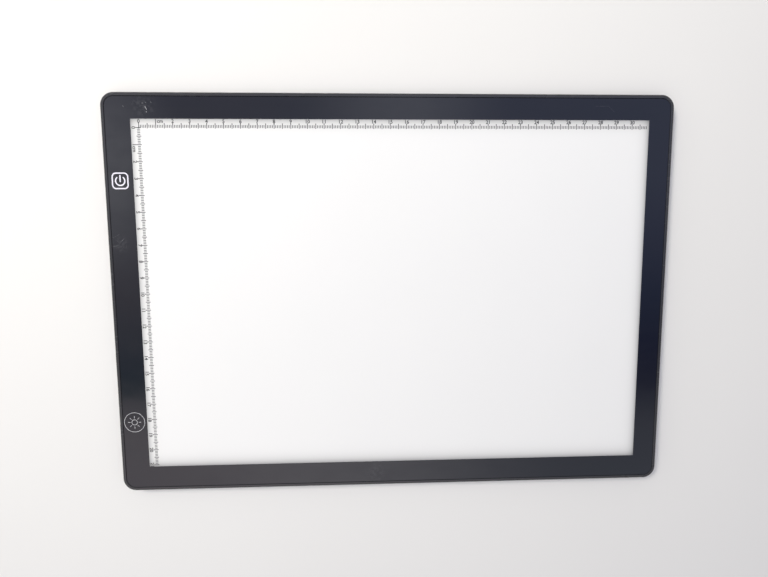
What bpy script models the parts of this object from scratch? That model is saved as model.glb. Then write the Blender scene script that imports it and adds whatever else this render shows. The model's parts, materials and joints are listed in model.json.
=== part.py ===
"""A4 LED tracing light box, modelled as it comes apart on a bench.

The box lies face up on its feet. The origin is on the surface it stands on, under the middle of the case,
with +X along its length, +Y towards the edge with the long ruler and +Z out of its drawing surface.
Lengths are in metres.
"""

import math

import bmesh
import bpy
from mathutils import Matrix, Vector

MM = 0.001

# Driving dimensions: the case
CASE_LENGTH = 348.6 * MM
CASE_WIDTH = 247.9 * MM
CASE_HEIGHT = 7.5 * MM
CASE_CORNER = 8.0 * MM
RIM_WIDTH = 2.2 * MM
RIM_ROUND = 1.3 * MM
FOOT_DROP = 1.0 * MM
FLOOR_THICKNESS = 1.2 * MM
FLOOR_ROUND = 0.8 * MM
PARTING_HEIGHT = 3.6 * MM
PARTING_GAP = 0.15 * MM

# Driving dimensions: the window, measured from the case's middle
WINDOW_LEFT = -156.9 * MM
WINDOW_RIGHT = 158.55 * MM
WINDOW_BOTTOM = -107.85 * MM
WINDOW_TOP = 108.35 * MM

# Driving dimensions: the layers, from the drawing surface down
PANEL_RECESS = 0.05 * MM
PANEL_THICKNESS = 1.45 * MM
PANEL_GAP = 0.35 * MM
INK_POCKET = 0.06 * MM
INK_THICKNESS = 0.04 * MM
SHEET_GAP = 0.1 * MM
DIFFUSER_THICKNESS = 0.2 * MM
GUIDE_THICKNESS = 3.0 * MM
REFLECTOR_THICKNESS = 0.2 * MM
GUIDE_MARGIN_LEFT = 1.5 * MM
GUIDE_MARGIN = 2.5 * MM
DIFFUSER_INSET = 0.5 * MM

# Driving dimensions: the frame's ledge and lip
LEDGE_THICKNESS = 1.0 * MM
LEDGE_INNER_X = 164.8 * MM
LEDGE_INNER_Y = 114.45 * MM
TAPE_THICKNESS = 0.25 * MM
TAPE_WIDTH = 5.4 * MM
TAPE_INSET = 0.5 * MM
LIP_THICKNESS = 1.2 * MM
LIP_DEPTH = 1.0 * MM
LIP_GAP = 0.2 * MM

# Driving dimensions: fasteners and feet
POST_RADIUS = 2.6 * MM
BOSS_RADIUS = 2.9 * MM
POST_MID_X = 167.5 * MM
POST_MID_Y = 117.2 * MM
POST_CORNER_X = 166.4 * MM
POST_CORNER_Y = 116.4 * MM
SCREW_HEAD_RADIUS = 1.95 * MM
SCREW_HEAD_HEIGHT = 1.15 * MM
SCREW_SHANK_RADIUS = 0.95 * MM
BOARD_SCREW_HEAD_RADIUS = 1.6 * MM
BOARD_SCREW_HEAD_HEIGHT = 0.9 * MM
BOARD_SCREW_SHANK_RADIUS = 0.7 * MM
HOLE_CLEARANCE = 0.15 * MM
HEAD_CLEARANCE = 0.25 * MM
SCREW_ROUND = 0.25
CROSS_REACH = 0.6
CROSS_WIDTH = 0.26
FOOT_RADIUS = 5.0 * MM
FOOT_ROUND = 0.4 * MM
FOOT_RECESS = 0.4 * MM
FOOT_X = 152.0 * MM
FOOT_Y = 102.0 * MM

# Driving dimensions: the LED strip
LED_COUNT = 31
LED_PITCH = 10.0 * MM
LED_LENGTH = 3.0 * MM
LED_DEPTH = 0.8 * MM
LED_HEIGHT = 1.4 * MM
STRIP_THICKNESS = 0.8 * MM
STRIP_HEIGHT = 2.9 * MM
STRIP_OVERHANG = 3.6 * MM
STRIP_TAPE_THICKNESS = 0.15 * MM

# Driving dimensions: edge cushions and the ribs behind them
CUSHION_THICKNESS = 1.6 * MM
CUSHION_HEIGHT = 2.6 * MM
CUSHION_GAP = 0.2 * MM
CUSHION_SIDES = ("left", "right", "bottom")
CUSHION_END = 95.0 * MM
CUSHION_LEFT_END = 45.0 * MM
CUSHION_LONG_END = 140.0 * MM
RIB_THICKNESS = 0.8 * MM
RIB_HEIGHT = 4.3 * MM
STRIP_RIB_HEIGHT = 5.2 * MM

# Driving dimensions: the control board and what it carries
BOARD_LEFT = -171.2 * MM
BOARD_RIGHT = -160.4 * MM
BOARD_BOTTOM = 58.0 * MM
BOARD_TOP = 104.0 * MM
BOARD_THICKNESS = 0.8 * MM
BOARD_STANDOFF = 0.2 * MM
BAY_MARGIN = 3.0 * MM
KEY_X = -164.9 * MM
KEY_Y = 72.0 * MM
USB_Y = 95.0 * MM
USB_WIDTH = 7.5 * MM
USB_HEIGHT = 2.45 * MM
USB_DEPTH = 5.3 * MM
USB_WALL = 0.3 * MM
USB_SETBACK = 0.9 * MM
USB_CHAMFER = 0.8 * MM
USB_BASE = 1.3 * MM
USB_TONGUE_WIDTH = 3.6 * MM
USB_TONGUE_HEIGHT = 0.6 * MM
PORT_CLEARANCE = 0.4 * MM
SPRING_RADIUS = 3.2 * MM
SPRING_WIRE = 0.4 * MM
SPRING_TURNS = 3
SPRING_STEPS = 16
DIMMER_SIZE = (3.9 * MM, 4.9 * MM, 1.5 * MM)
DIMMER_SPOT = (KEY_X, KEY_Y + 9.6 * MM)
DIMMER_PINS = (4, 4)
TRANSISTOR_SIZE = (1.4 * MM, 2.9 * MM, 1.1 * MM)
TRANSISTOR_SPOT = (KEY_X + 1.6 * MM, KEY_Y + 16.4 * MM)
TRANSISTOR_PINS = (2, 1)
PIN_REACH = 1.0 * MM
PIN_WIDTH = 0.4 * MM
PIN_PITCH = 1.2 * MM
CAPACITOR_SIZE = (2.0 * MM, 1.25 * MM, 1.2 * MM)
CAPACITOR_SPOTS = ((KEY_X + 1.6 * MM, KEY_Y - 6.4 * MM), (KEY_X - 3.9 * MM, KEY_Y + 16.4 * MM))
RESISTOR_SIZE = (1.6 * MM, 0.8 * MM, 0.5 * MM)
RESISTOR_SPOTS = ((KEY_X + 1.4 * MM, KEY_Y - 10.0 * MM), (KEY_X + 1.4 * MM, KEY_Y - 8.2 * MM),
                  (KEY_X - 1.4 * MM, KEY_Y + 14.2 * MM))
SOCKET_X = BOARD_RIGHT - 2.7 * MM
SOCKET_BACK_Y = USB_Y + 2.6 * MM
SOCKET_WIDTH = 4.6 * MM
SOCKET_DEPTH = 3.2 * MM
SOCKET_HEIGHT = 2.1 * MM
SOCKET_WALL = 0.4 * MM
LEAD_DIAMETER = 0.9 * MM
LEAD_PITCH = 1.5 * MM
LEAD_BOW = 0.5 * MM
LEAD_STEPS = 10

# Smoothness
CORNER_STEPS = 8
EDGE_STEPS = 3
FOOT_SIDES = 32
HOLE_SIDES = 18
SHANK_SIDES = 12
SMOOTH_ANGLE = math.radians(32)

# Modelling allowances
CUT_OVER = 2.0 * MM
NEAR = 0.01 * MM

# Heights that follow from the driving dimensions
FLOOR_BOTTOM = FOOT_DROP
FLOOR_TOP = FLOOR_BOTTOM + FLOOR_THICKNESS
REFLECTOR_BOTTOM = FLOOR_TOP + SHEET_GAP
GUIDE_BOTTOM = REFLECTOR_BOTTOM + REFLECTOR_THICKNESS + SHEET_GAP
GUIDE_TOP = GUIDE_BOTTOM + GUIDE_THICKNESS
DIFFUSER_BOTTOM = GUIDE_TOP + SHEET_GAP
PANEL_TOP = CASE_HEIGHT - PANEL_RECESS
PANEL_BOTTOM = PANEL_TOP - PANEL_THICKNESS
TAPE_TOP = PANEL_BOTTOM - SHEET_GAP
LEDGE_TOP = TAPE_TOP - TAPE_THICKNESS - SHEET_GAP
LEDGE_BOTTOM = LEDGE_TOP - LEDGE_THICKNESS
BOSS_TOP = PARTING_HEIGHT - 2 * SHEET_GAP
POST_BOTTOM = BOSS_TOP + SHEET_GAP
BOARD_UNDERSIDE = FLOOR_TOP + BOARD_STANDOFF + SHEET_GAP
BOARD_FACE = BOARD_UNDERSIDE + BOARD_THICKNESS
MOUNTED = BOARD_FACE + SHEET_GAP

# Outlines that follow from the driving dimensions
HALF_X = CASE_LENGTH / 2
HALF_Y = CASE_WIDTH / 2
WALL_X = HALF_X - RIM_WIDTH
WALL_Y = HALF_Y - RIM_WIDTH
WALL_CORNER = CASE_CORNER - RIM_WIDTH
PANEL_X = WALL_X - PANEL_GAP
PANEL_Y = WALL_Y - PANEL_GAP
PANEL_CORNER = WALL_CORNER - PANEL_GAP
LIP_X = WALL_X - LIP_GAP
LIP_Y = WALL_Y - LIP_GAP
GUIDE_LEFT = WINDOW_LEFT - GUIDE_MARGIN_LEFT
GUIDE_RIGHT = WINDOW_RIGHT + GUIDE_MARGIN
GUIDE_LOWER = WINDOW_BOTTOM - GUIDE_MARGIN
GUIDE_UPPER = WINDOW_TOP + GUIDE_MARGIN
LED_FACE_Y = GUIDE_UPPER + CUSHION_GAP
STRIP_FRONT_Y = LED_FACE_Y + LED_DEPTH
STRIP_BACK_Y = STRIP_FRONT_Y + STRIP_THICKNESS
STRIP_LEFT = GUIDE_LEFT - STRIP_OVERHANG
STRIP_RIGHT = GUIDE_RIGHT - SHEET_GAP
STRIP_RIB_Y = STRIP_BACK_Y + STRIP_TAPE_THICKNESS + 2 * SHEET_GAP
USB_MOUTH_X = -HALF_X + USB_SETBACK

SCREW_SPOTS = (
    (-POST_CORNER_X, -POST_CORNER_Y),
    (0.0, -POST_MID_Y),
    (POST_CORNER_X, -POST_CORNER_Y),
    (POST_MID_X, 0.0),
    (POST_CORNER_X, POST_CORNER_Y),
    (0.0, POST_MID_Y),
    (-POST_CORNER_X, POST_CORNER_Y),
    (-POST_MID_X, 0.0),
)
BOARD_SCREW_SPOTS = (
    (BOARD_LEFT + 2.2 * MM, BOARD_BOTTOM + 2.4 * MM),
    (BOARD_LEFT + 2.4 * MM, BOARD_TOP - 2.1 * MM),
)
FOOT_SPOTS = ((-FOOT_X, -FOOT_Y), (FOOT_X, -FOOT_Y), (FOOT_X, FOOT_Y), (-FOOT_X, FOOT_Y))


def clear_scene():
    """Remove every object that the file opens with."""
    for obj in list(bpy.data.objects):
        bpy.data.objects.remove(obj, do_unlink=True)


def new_collection(name):
    """A collection linked to the scene."""
    collection = bpy.data.collections.new(name)
    bpy.context.scene.collection.children.link(collection)
    return collection


def material(name, colour, roughness, metallic=0.0):
    """A plain Principled material."""
    result = bpy.data.materials.new(name)
    result.use_nodes = True
    shader = result.node_tree.nodes["Principled BSDF"]
    shader.inputs["Base Color"].default_value = (*colour, 1.0)
    shader.inputs["Roughness"].default_value = roughness
    shader.inputs["Metallic"].default_value = metallic
    return result


# Shapes, each returned as a bmesh

def block(low, high):
    """A box between two corners."""
    low = Vector(low)
    high = Vector(high)
    shape = bmesh.new()
    bmesh.ops.create_cube(shape, size=1.0)
    size = high - low
    bmesh.ops.scale(shape, vec=size, verts=shape.verts)
    bmesh.ops.translate(shape, vec=(low + high) / 2, verts=shape.verts)
    return shape


def level_edges(shape, height):
    """The edges of a shape that lie at one height."""
    return [e for e in shape.edges if all(abs(v.co.z - height) < NEAR for v in e.verts)]


def edges_along(shape, axis):
    """The edges of a box that run along one axis, 0, 1 or 2."""
    return [e for e in shape.edges if abs(e.verts[0].co[axis] - e.verts[1].co[axis]) > NEAR]


def soften(shape, edges, width, steps=EDGE_STEPS):
    """Round some edges of a shape."""
    bmesh.ops.bevel(shape, geom=edges, offset=width, segments=steps, profile=0.5, affect="EDGES")
    return shape


def plate(low, high, corner=0.0, top_round=0.0, bottom_round=0.0, steps=CORNER_STEPS):
    """A flat plate with rounded corners, and rounded upper or lower edges where asked."""
    shape = block(low, high)
    if corner:
        soften(shape, edges_along(shape, 2), corner, steps)
    if top_round:
        soften(shape, level_edges(shape, high[2]), top_round)
    if bottom_round:
        soften(shape, level_edges(shape, low[2]), bottom_round)
    return shape


def centred_plate(half_x, half_y, bottom, top, corner=0.0, **rounds):
    """A plate about the case's middle."""
    return plate((-half_x, -half_y, bottom), (half_x, half_y, top), corner, **rounds)


def disc(spot, radius, bottom, top, sides=HOLE_SIDES):
    """An upright cylinder over a spot (x, y)."""
    shape = bmesh.new()
    middle = Matrix.Translation((spot[0], spot[1], (bottom + top) / 2))
    bmesh.ops.create_cone(shape, cap_ends=True, segments=sides, radius1=radius, radius2=radius,
                          depth=top - bottom, matrix=middle)
    return shape


def several(shapes):
    """Shapes that don't touch, gathered in one bmesh to cut or to join in one step."""
    gathered = bmesh.new()
    for shape in shapes:
        mesh = bpy.data.meshes.new("gathered")
        shape.to_mesh(mesh)
        shape.free()
        gathered.from_mesh(mesh)
        bpy.data.meshes.remove(mesh)
    return gathered


# Objects

class Workshop:
    """Holds the collections and materials, and turns shapes into named objects."""

    def __init__(self, name):
        self.parts = new_collection(name)
        self.tools = new_collection("cutters")
        self.materials = {}

    def paint(self, slot, colour, roughness, metallic=0.0):
        self.materials[slot] = material(slot, colour, roughness, metallic)

    def place(self, name, shape, slot):
        """Make an object of a shape, with its own material."""
        mesh = bpy.data.meshes.new(name)
        shape.to_mesh(mesh)
        shape.free()
        mesh.materials.append(self.materials[slot])
        obj = bpy.data.objects.new(name, mesh)
        self.parts.objects.link(obj)
        self.smooth(obj)
        return obj

    def copy(self, original, name, offset):
        """Another object that shares the original's mesh, at an offset (x, y) from it."""
        obj = bpy.data.objects.new(name, original.data)
        obj.location = (offset[0], offset[1], 0.0)
        self.parts.objects.link(obj)
        return obj

    def smooth(self, obj):
        obj.data.shade_smooth()
        obj.data.set_sharp_from_angle(angle=SMOOTH_ANGLE)

    def combine(self, obj, operation, shape):
        """Cut a shape from an object, or join it to the object."""
        mesh = bpy.data.meshes.new("tool")
        shape.to_mesh(mesh)
        shape.free()
        tool = bpy.data.objects.new(f"{obj.name}_tool", mesh)
        tool.hide_render = True
        tool.display_type = "WIRE"
        self.tools.objects.link(tool)
        step = obj.modifiers.new(operation.title(), "BOOLEAN")
        step.operation = operation
        step.solver = "EXACT"
        step.object = tool
        graph = bpy.context.evaluated_depsgraph_get()
        obj.data = bpy.data.meshes.new_from_object(obj.evaluated_get(graph))
        obj.modifiers.clear()
        bpy.data.objects.remove(tool, do_unlink=True)
        self.smooth(obj)

    def cut(self, obj, shape):
        self.combine(obj, "DIFFERENCE", shape)

    def join(self, obj, shape):
        self.combine(obj, "UNION", shape)

    def wire(self, name, points, diameter, slot):
        """A round wire along points, as a closed mesh."""
        curve = bpy.data.curves.new(name, "CURVE")
        curve.dimensions = "3D"
        curve.bevel_depth = diameter / 2
        curve.bevel_resolution = 2
        curve.use_fill_caps = True
        spline = curve.splines.new("POLY")
        spline.points.add(len(points) - 1)
        for knot, point in zip(spline.points, points):
            knot.co = (*point, 1.0)
        guide = bpy.data.objects.new(f"{name}_curve", curve)
        self.tools.objects.link(guide)
        graph = bpy.context.evaluated_depsgraph_get()
        mesh = bpy.data.meshes.new_from_object(guide.evaluated_get(graph))
        shape = bmesh.new()
        shape.from_mesh(mesh)
        bmesh.ops.remove_doubles(shape, verts=shape.verts, dist=0.001 * MM)
        bpy.data.objects.remove(guide, do_unlink=True)
        bpy.data.meshes.remove(mesh)
        return self.place(name, shape, slot)


def paint_all(shop):
    """The materials, one for each kind of surface."""
    shop.paint("black_case", (0.022, 0.022, 0.024), 0.32)
    shop.paint("opal_acrylic", (0.86, 0.87, 0.88), 0.12)
    shop.paint("black_ink", (0.018, 0.018, 0.020), 0.14)
    shop.paint("foam_tape", (0.80, 0.80, 0.78), 0.85)
    shop.paint("diffuser_film", (0.92, 0.92, 0.92), 0.55)
    shop.paint("clear_acrylic", (0.90, 0.94, 0.95), 0.05)
    shop.paint("white_film", (0.95, 0.95, 0.95), 0.35)
    shop.paint("cushion_foam", (0.88, 0.88, 0.86), 0.90)
    shop.paint("led_board", (0.90, 0.90, 0.86), 0.45)
    shop.paint("green_board", (0.03, 0.22, 0.09), 0.40)
    shop.paint("steel", (0.62, 0.62, 0.63), 0.28, 1.0)
    shop.paint("black_screw", (0.05, 0.05, 0.055), 0.35, 1.0)
    shop.paint("spring_steel", (0.75, 0.74, 0.72), 0.25, 1.0)
    shop.paint("chip_plastic", (0.03, 0.03, 0.03), 0.50)
    shop.paint("ceramic_tan", (0.55, 0.42, 0.28), 0.45)
    shop.paint("ceramic_black", (0.05, 0.05, 0.05), 0.40)
    shop.paint("connector_plastic", (0.86, 0.84, 0.78), 0.40)
    shop.paint("red_wire", (0.60, 0.03, 0.03), 0.40)
    shop.paint("black_wire", (0.03, 0.03, 0.03), 0.40)
    shop.paint("rubber", (0.04, 0.04, 0.04), 0.80)


# The case

def bay(bottom, top, inner_x):
    """The space kept clear for the control board, along the left wall."""
    return block((-WALL_X, BOARD_BOTTOM - BAY_MARGIN, bottom), (inner_x, BOARD_TOP + BAY_MARGIN, top))


def port_opening():
    """The cutter of the socket's opening in the left wall, through both halves of the case."""
    half_width = USB_WIDTH / 2 + PORT_CLEARANCE
    low = (-HALF_X - CUT_OVER, USB_Y - half_width, MOUNTED - PORT_CLEARANCE / 2)
    high = (-WALL_X + RIM_WIDTH / 4, USB_Y + half_width, MOUNTED + USB_HEIGHT + PORT_CLEARANCE / 4)
    shape = block(low, high)
    return soften(shape, edges_along(shape, 0), 2 * PORT_CLEARANCE)


def bezel_frame(shop):
    """The case's upper half: the rim, the ledge that carries the panel, the lip and the screw posts."""
    frame = shop.place("bezel_frame",
                       centred_plate(HALF_X, HALF_Y, PARTING_HEIGHT, CASE_HEIGHT, CASE_CORNER,
                                     top_round=RIM_ROUND), "black_case")
    lip_bottom = PARTING_HEIGHT - LIP_DEPTH
    shop.join(frame, centred_plate(LIP_X, LIP_Y, lip_bottom, LEDGE_BOTTOM, WALL_CORNER - LIP_GAP))
    shop.cut(frame, centred_plate(LIP_X - LIP_THICKNESS, LIP_Y - LIP_THICKNESS, lip_bottom - CUT_OVER,
                                  LEDGE_BOTTOM, WALL_CORNER - LIP_GAP - LIP_THICKNESS))
    shop.cut(frame, centred_plate(WALL_X, WALL_Y, LEDGE_TOP, CASE_HEIGHT + CUT_OVER, WALL_CORNER))
    shop.cut(frame, centred_plate(LEDGE_INNER_X, LEDGE_INNER_Y, lip_bottom, CASE_HEIGHT, WALL_CORNER / 2))
    into_ledge = LEDGE_THICKNESS / 2
    shop.join(frame, several(disc(spot, POST_RADIUS, POST_BOTTOM, LEDGE_BOTTOM + into_ledge)
                             for spot in SCREW_SPOTS))
    pilot = SCREW_SHANK_RADIUS + HOLE_CLEARANCE
    shop.cut(frame, several(disc(spot, pilot, POST_BOTTOM - CUT_OVER, LEDGE_BOTTOM + into_ledge)
                            for spot in SCREW_SPOTS))
    shop.cut(frame, bay(lip_bottom - CUT_OVER, CASE_HEIGHT - RIM_ROUND, -LEDGE_INNER_X + CUT_OVER))
    shop.cut(frame, port_opening())
    return frame


def rear_cover(shop):
    """The lower half of the case: a shallow tray with screw bosses, ribs and seats for the feet."""
    wall_top = PARTING_HEIGHT - PARTING_GAP
    cover = shop.place("rear_cover", centred_plate(HALF_X, HALF_Y, FLOOR_BOTTOM, wall_top, CASE_CORNER,
                                                   bottom_round=FLOOR_ROUND), "black_case")
    shop.cut(cover, centred_plate(WALL_X, WALL_Y, FLOOR_TOP, wall_top + CUT_OVER, WALL_CORNER))
    in_floor = FLOOR_TOP - FLOOR_THICKNESS / 2
    shop.join(cover, several([disc(spot, BOSS_RADIUS, in_floor, BOSS_TOP) for spot in SCREW_SPOTS]
                             + [disc(spot, BOARD_SCREW_HEAD_RADIUS, in_floor, FLOOR_TOP + BOARD_STANDOFF)
                                for spot in BOARD_SCREW_SPOTS]
                             + rib_shapes(in_floor)))
    head_seat = FLOOR_BOTTOM + SCREW_HEAD_HEIGHT + HEAD_CLEARANCE
    head_hole = SCREW_HEAD_RADIUS + HEAD_CLEARANCE
    shank_hole = SCREW_SHANK_RADIUS + HOLE_CLEARANCE
    board_pilot = BOARD_SCREW_SHANK_RADIUS + HOLE_CLEARANCE
    pilot_floor = FLOOR_BOTTOM + FLOOR_THICKNESS / 3
    shop.cut(cover, several(disc(spot, head_hole, FLOOR_BOTTOM - CUT_OVER, head_seat)
                            for spot in SCREW_SPOTS))
    shop.cut(cover, several([disc(spot, shank_hole, FLOOR_TOP, BOSS_TOP + CUT_OVER) for spot in SCREW_SPOTS]
                            + [disc(spot, board_pilot, pilot_floor, FLOOR_TOP + CUT_OVER)
                               for spot in BOARD_SCREW_SPOTS]))
    foot_hole = FOOT_RADIUS + HEAD_CLEARANCE
    shop.cut(cover, several(disc(spot, foot_hole, FLOOR_BOTTOM - CUT_OVER, FLOOR_BOTTOM + FOOT_RECESS,
                                 FOOT_SIDES) for spot in FOOT_SPOTS))
    shop.cut(cover, port_opening())
    return cover


def beside_guide(side, near, far, bottom, top):
    """A straight strip along one side of the light guide, from near to far outside it."""
    if side == "left":
        return block((GUIDE_LEFT - far, -CUSHION_END, bottom), (GUIDE_LEFT - near, CUSHION_LEFT_END, top))
    if side == "right":
        return block((GUIDE_RIGHT + near, -CUSHION_END, bottom), (GUIDE_RIGHT + far, CUSHION_END, top))
    return block((-CUSHION_LONG_END, GUIDE_LOWER - far, bottom),
                 (CUSHION_LONG_END, GUIDE_LOWER - near, top))


def rib_shapes(bottom):
    """The ribs of the rear cover: one behind the LED strip and one behind each edge cushion."""
    near = CUSHION_THICKNESS + 2 * CUSHION_GAP
    ribs = [beside_guide(side, near, near + RIB_THICKNESS, bottom, RIB_HEIGHT) for side in CUSHION_SIDES]
    ribs.append(block((STRIP_LEFT, STRIP_RIB_Y, bottom),
                      (STRIP_RIGHT, STRIP_RIB_Y + RIB_THICKNESS, STRIP_RIB_HEIGHT)))
    return ribs


def crossed_screw(shop, name, spot, head_radius, head_bottom, head_top, shank_radius, tip, slot):
    """A pan-head screw with a cross recess in the end of its head that lies away from its tip."""
    head = disc(spot, head_radius, head_bottom, head_top)
    points_up = tip > head_top
    outer = head_bottom if points_up else head_top
    soften(head, level_edges(head, outer), head_radius * SCREW_ROUND, steps=2)
    screw = shop.place(name, head, slot)
    inside = (head_bottom + head_top) / 2
    shop.join(screw, disc(spot, shank_radius, min(inside, tip), max(inside, tip), SHANK_SIDES))
    recess = (head_top - head_bottom) / 2
    reach = head_radius * CROSS_REACH
    half_slot = head_radius * CROSS_WIDTH / 2
    low = outer - CUT_OVER if points_up else outer - recess
    high = outer + recess if points_up else outer + CUT_OVER
    for half_x, half_y in ((reach, half_slot), (half_slot, reach)):
        shop.cut(screw, block((spot[0] - half_x, spot[1] - half_y, low),
                              (spot[0] + half_x, spot[1] + half_y, high)))
    return screw


def case_screws(shop):
    """The screws that go up through the rear cover into the frame's posts."""
    head_bottom = FLOOR_BOTTOM + SHEET_GAP
    first = crossed_screw(shop, "case_screw_1", SCREW_SPOTS[0], SCREW_HEAD_RADIUS, head_bottom,
                          head_bottom + SCREW_HEAD_HEIGHT, SCREW_SHANK_RADIUS,
                          LEDGE_BOTTOM + LEDGE_THICKNESS / 4, "black_screw")
    for number, spot in enumerate(SCREW_SPOTS[1:], start=2):
        shop.copy(first, f"case_screw_{number}", Vector(spot) - Vector(SCREW_SPOTS[0]))


def feet(shop):
    """Four round rubber feet, each seated in a shallow recess."""
    shape = disc(FOOT_SPOTS[0], FOOT_RADIUS, 0.0, FLOOR_BOTTOM + FOOT_RECESS - SHEET_GAP, FOOT_SIDES)
    soften(shape, level_edges(shape, 0.0), FOOT_ROUND, steps=2)
    first = shop.place("foot_1", shape, "rubber")
    for number, spot in enumerate(FOOT_SPOTS[1:], start=2):
        shop.copy(first, f"foot_{number}", Vector(spot) - Vector(FOOT_SPOTS[0]))


# The panel and the light stack

def window_plate(bottom, top, grow=0.0):
    """A plate over the window, grown outwards by a margin."""
    return block((WINDOW_LEFT - grow, WINDOW_BOTTOM - grow, bottom),
                 (WINDOW_RIGHT + grow, WINDOW_TOP + grow, top))


def front_panel(shop):
    """The opal sheet. Its window stands proud of the border by the depth of the ink."""
    shape = centred_plate(PANEL_X, PANEL_Y, PANEL_BOTTOM, PANEL_TOP - INK_POCKET, PANEL_CORNER)
    panel = shop.place("front_panel", shape, "opal_acrylic")
    shop.join(panel, window_plate(PANEL_BOTTOM + PANEL_THICKNESS / 2, PANEL_TOP))
    return panel


def printed_border(shop):
    """The layer of black ink on the panel's border, flush with the window."""
    clear = (INK_POCKET - INK_THICKNESS) / 2
    bottom = PANEL_TOP - INK_POCKET + clear
    top = bottom + INK_THICKNESS
    border = shop.place("printed_border",
                        centred_plate(PANEL_X - clear, PANEL_Y - clear, bottom, top, PANEL_CORNER - clear),
                        "black_ink")
    shop.cut(border, window_plate(bottom - CUT_OVER, top + CUT_OVER, grow=clear))
    return border


def panel_tapes(shop):
    """Four strips of foam tape between ledge and panel. The left one ends at the board's bay."""
    outer_x = PANEL_X - TAPE_INSET
    outer_y = PANEL_Y - TAPE_INSET
    inner_x = outer_x - TAPE_WIDTH
    inner_y = outer_y - TAPE_WIDTH
    end_x = LEDGE_INNER_X - TAPE_INSET * 2
    end_y = inner_y - TAPE_INSET * 2
    bay_end = BOARD_BOTTOM - BAY_MARGIN - TAPE_INSET * 2
    bottom = TAPE_TOP - TAPE_THICKNESS
    strips = {
        "panel_tape_top": ((-end_x, inner_y), (end_x, outer_y)),
        "panel_tape_bottom": ((-end_x, -outer_y), (end_x, -inner_y)),
        "panel_tape_right": ((inner_x, -end_y), (outer_x, end_y)),
        "panel_tape_left": ((-outer_x, -end_y), (-inner_x, bay_end)),
    }
    for name, (low, high) in strips.items():
        shop.place(name, block((*low, bottom), (*high, TAPE_TOP)), "foam_tape")


def light_stack(shop):
    """The reflector, the light guide and the diffuser, which lie on each other behind the window."""
    def sheet(name, bottom, thickness, inset, slot):
        low = (GUIDE_LEFT + inset, GUIDE_LOWER + inset, bottom)
        high = (GUIDE_RIGHT - inset, GUIDE_UPPER - inset, bottom + thickness)
        shop.place(name, block(low, high), slot)

    sheet("reflector_sheet", REFLECTOR_BOTTOM, REFLECTOR_THICKNESS, 0.0, "white_film")
    sheet("light_guide_plate", GUIDE_BOTTOM, GUIDE_THICKNESS, 0.0, "clear_acrylic")
    sheet("diffuser_sheet", DIFFUSER_BOTTOM, DIFFUSER_THICKNESS, DIFFUSER_INSET, "diffuser_film")


def edge_cushions(shop):
    """Foam strips that hold the light guide against the LED strip and centre it."""
    bottom = REFLECTOR_BOTTOM
    top = bottom + CUSHION_HEIGHT
    for side in CUSHION_SIDES:
        shape = beside_guide(side, CUSHION_GAP, CUSHION_GAP + CUSHION_THICKNESS, bottom, top)
        shop.place(f"edge_cushion_{side}", shape, "cushion_foam")


def led_strip(shop):
    """The narrow board that stands along the light guide's upper edge, with its LEDs facing the guide."""
    top = GUIDE_BOTTOM + STRIP_HEIGHT
    strip = shop.place("led_strip", block((STRIP_LEFT, STRIP_FRONT_Y, GUIDE_BOTTOM),
                                          (STRIP_RIGHT, STRIP_BACK_Y, top)), "led_board")
    middle_x = (GUIDE_LEFT + GUIDE_RIGHT) / 2
    middle_z = GUIDE_BOTTOM + GUIDE_THICKNESS / 2
    into_board = STRIP_THICKNESS / 4
    leds = []
    for index in range(LED_COUNT):
        x = middle_x + (index - (LED_COUNT - 1) / 2) * LED_PITCH
        leds.append(block((x - LED_LENGTH / 2, LED_FACE_Y, middle_z - LED_HEIGHT / 2),
                          (x + LED_LENGTH / 2, STRIP_FRONT_Y + into_board, middle_z + LED_HEIGHT / 2)))
    shop.join(strip, several(leds))
    tape_front = STRIP_BACK_Y + SHEET_GAP
    tape_back = tape_front + STRIP_TAPE_THICKNESS
    inset = TAPE_INSET * 2
    tape = block((STRIP_LEFT + inset, tape_front, GUIDE_BOTTOM + SHEET_GAP),
                 (STRIP_RIGHT - inset, tape_back, STRIP_RIB_HEIGHT))
    shop.place("led_strip_tape", tape, "foam_tape")


# The control board

def control_board(shop):
    """The board under the left border, with a hole for each of its screws."""
    shape = plate((BOARD_LEFT, BOARD_BOTTOM, BOARD_UNDERSIDE), (BOARD_RIGHT, BOARD_TOP, BOARD_FACE),
                  corner=BOARD_THICKNESS, steps=EDGE_STEPS)
    board = shop.place("control_board", shape, "green_board")
    hole = BOARD_SCREW_SHANK_RADIUS + HOLE_CLEARANCE
    shop.cut(board, several(disc(spot, hole, 0.0, CASE_HEIGHT) for spot in BOARD_SCREW_SPOTS))
    for number, spot in enumerate(BOARD_SCREW_SPOTS, start=1):
        crossed_screw(shop, f"board_screw_{number}", spot, BOARD_SCREW_HEAD_RADIUS, MOUNTED,
                      MOUNTED + BOARD_SCREW_HEAD_HEIGHT, BOARD_SCREW_SHANK_RADIUS,
                      FLOOR_BOTTOM + FLOOR_THICKNESS / 2, "steel")


def lower_edges_along_x(shape, height):
    """The edges of a box that lie at one height and run along X."""
    level = set(level_edges(shape, height))
    return [e for e in edges_along(shape, 0) if e in level]


def socket_block(left, right, half_width, bottom, top, chamfer=0.0):
    """A box about the socket's middle line, with its two lower edges chamfered where asked."""
    shape = block((left, USB_Y - half_width, bottom), (right, USB_Y + half_width, top))
    if chamfer:
        soften(shape, lower_edges_along_x(shape, bottom), chamfer, steps=1)
    return shape


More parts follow.
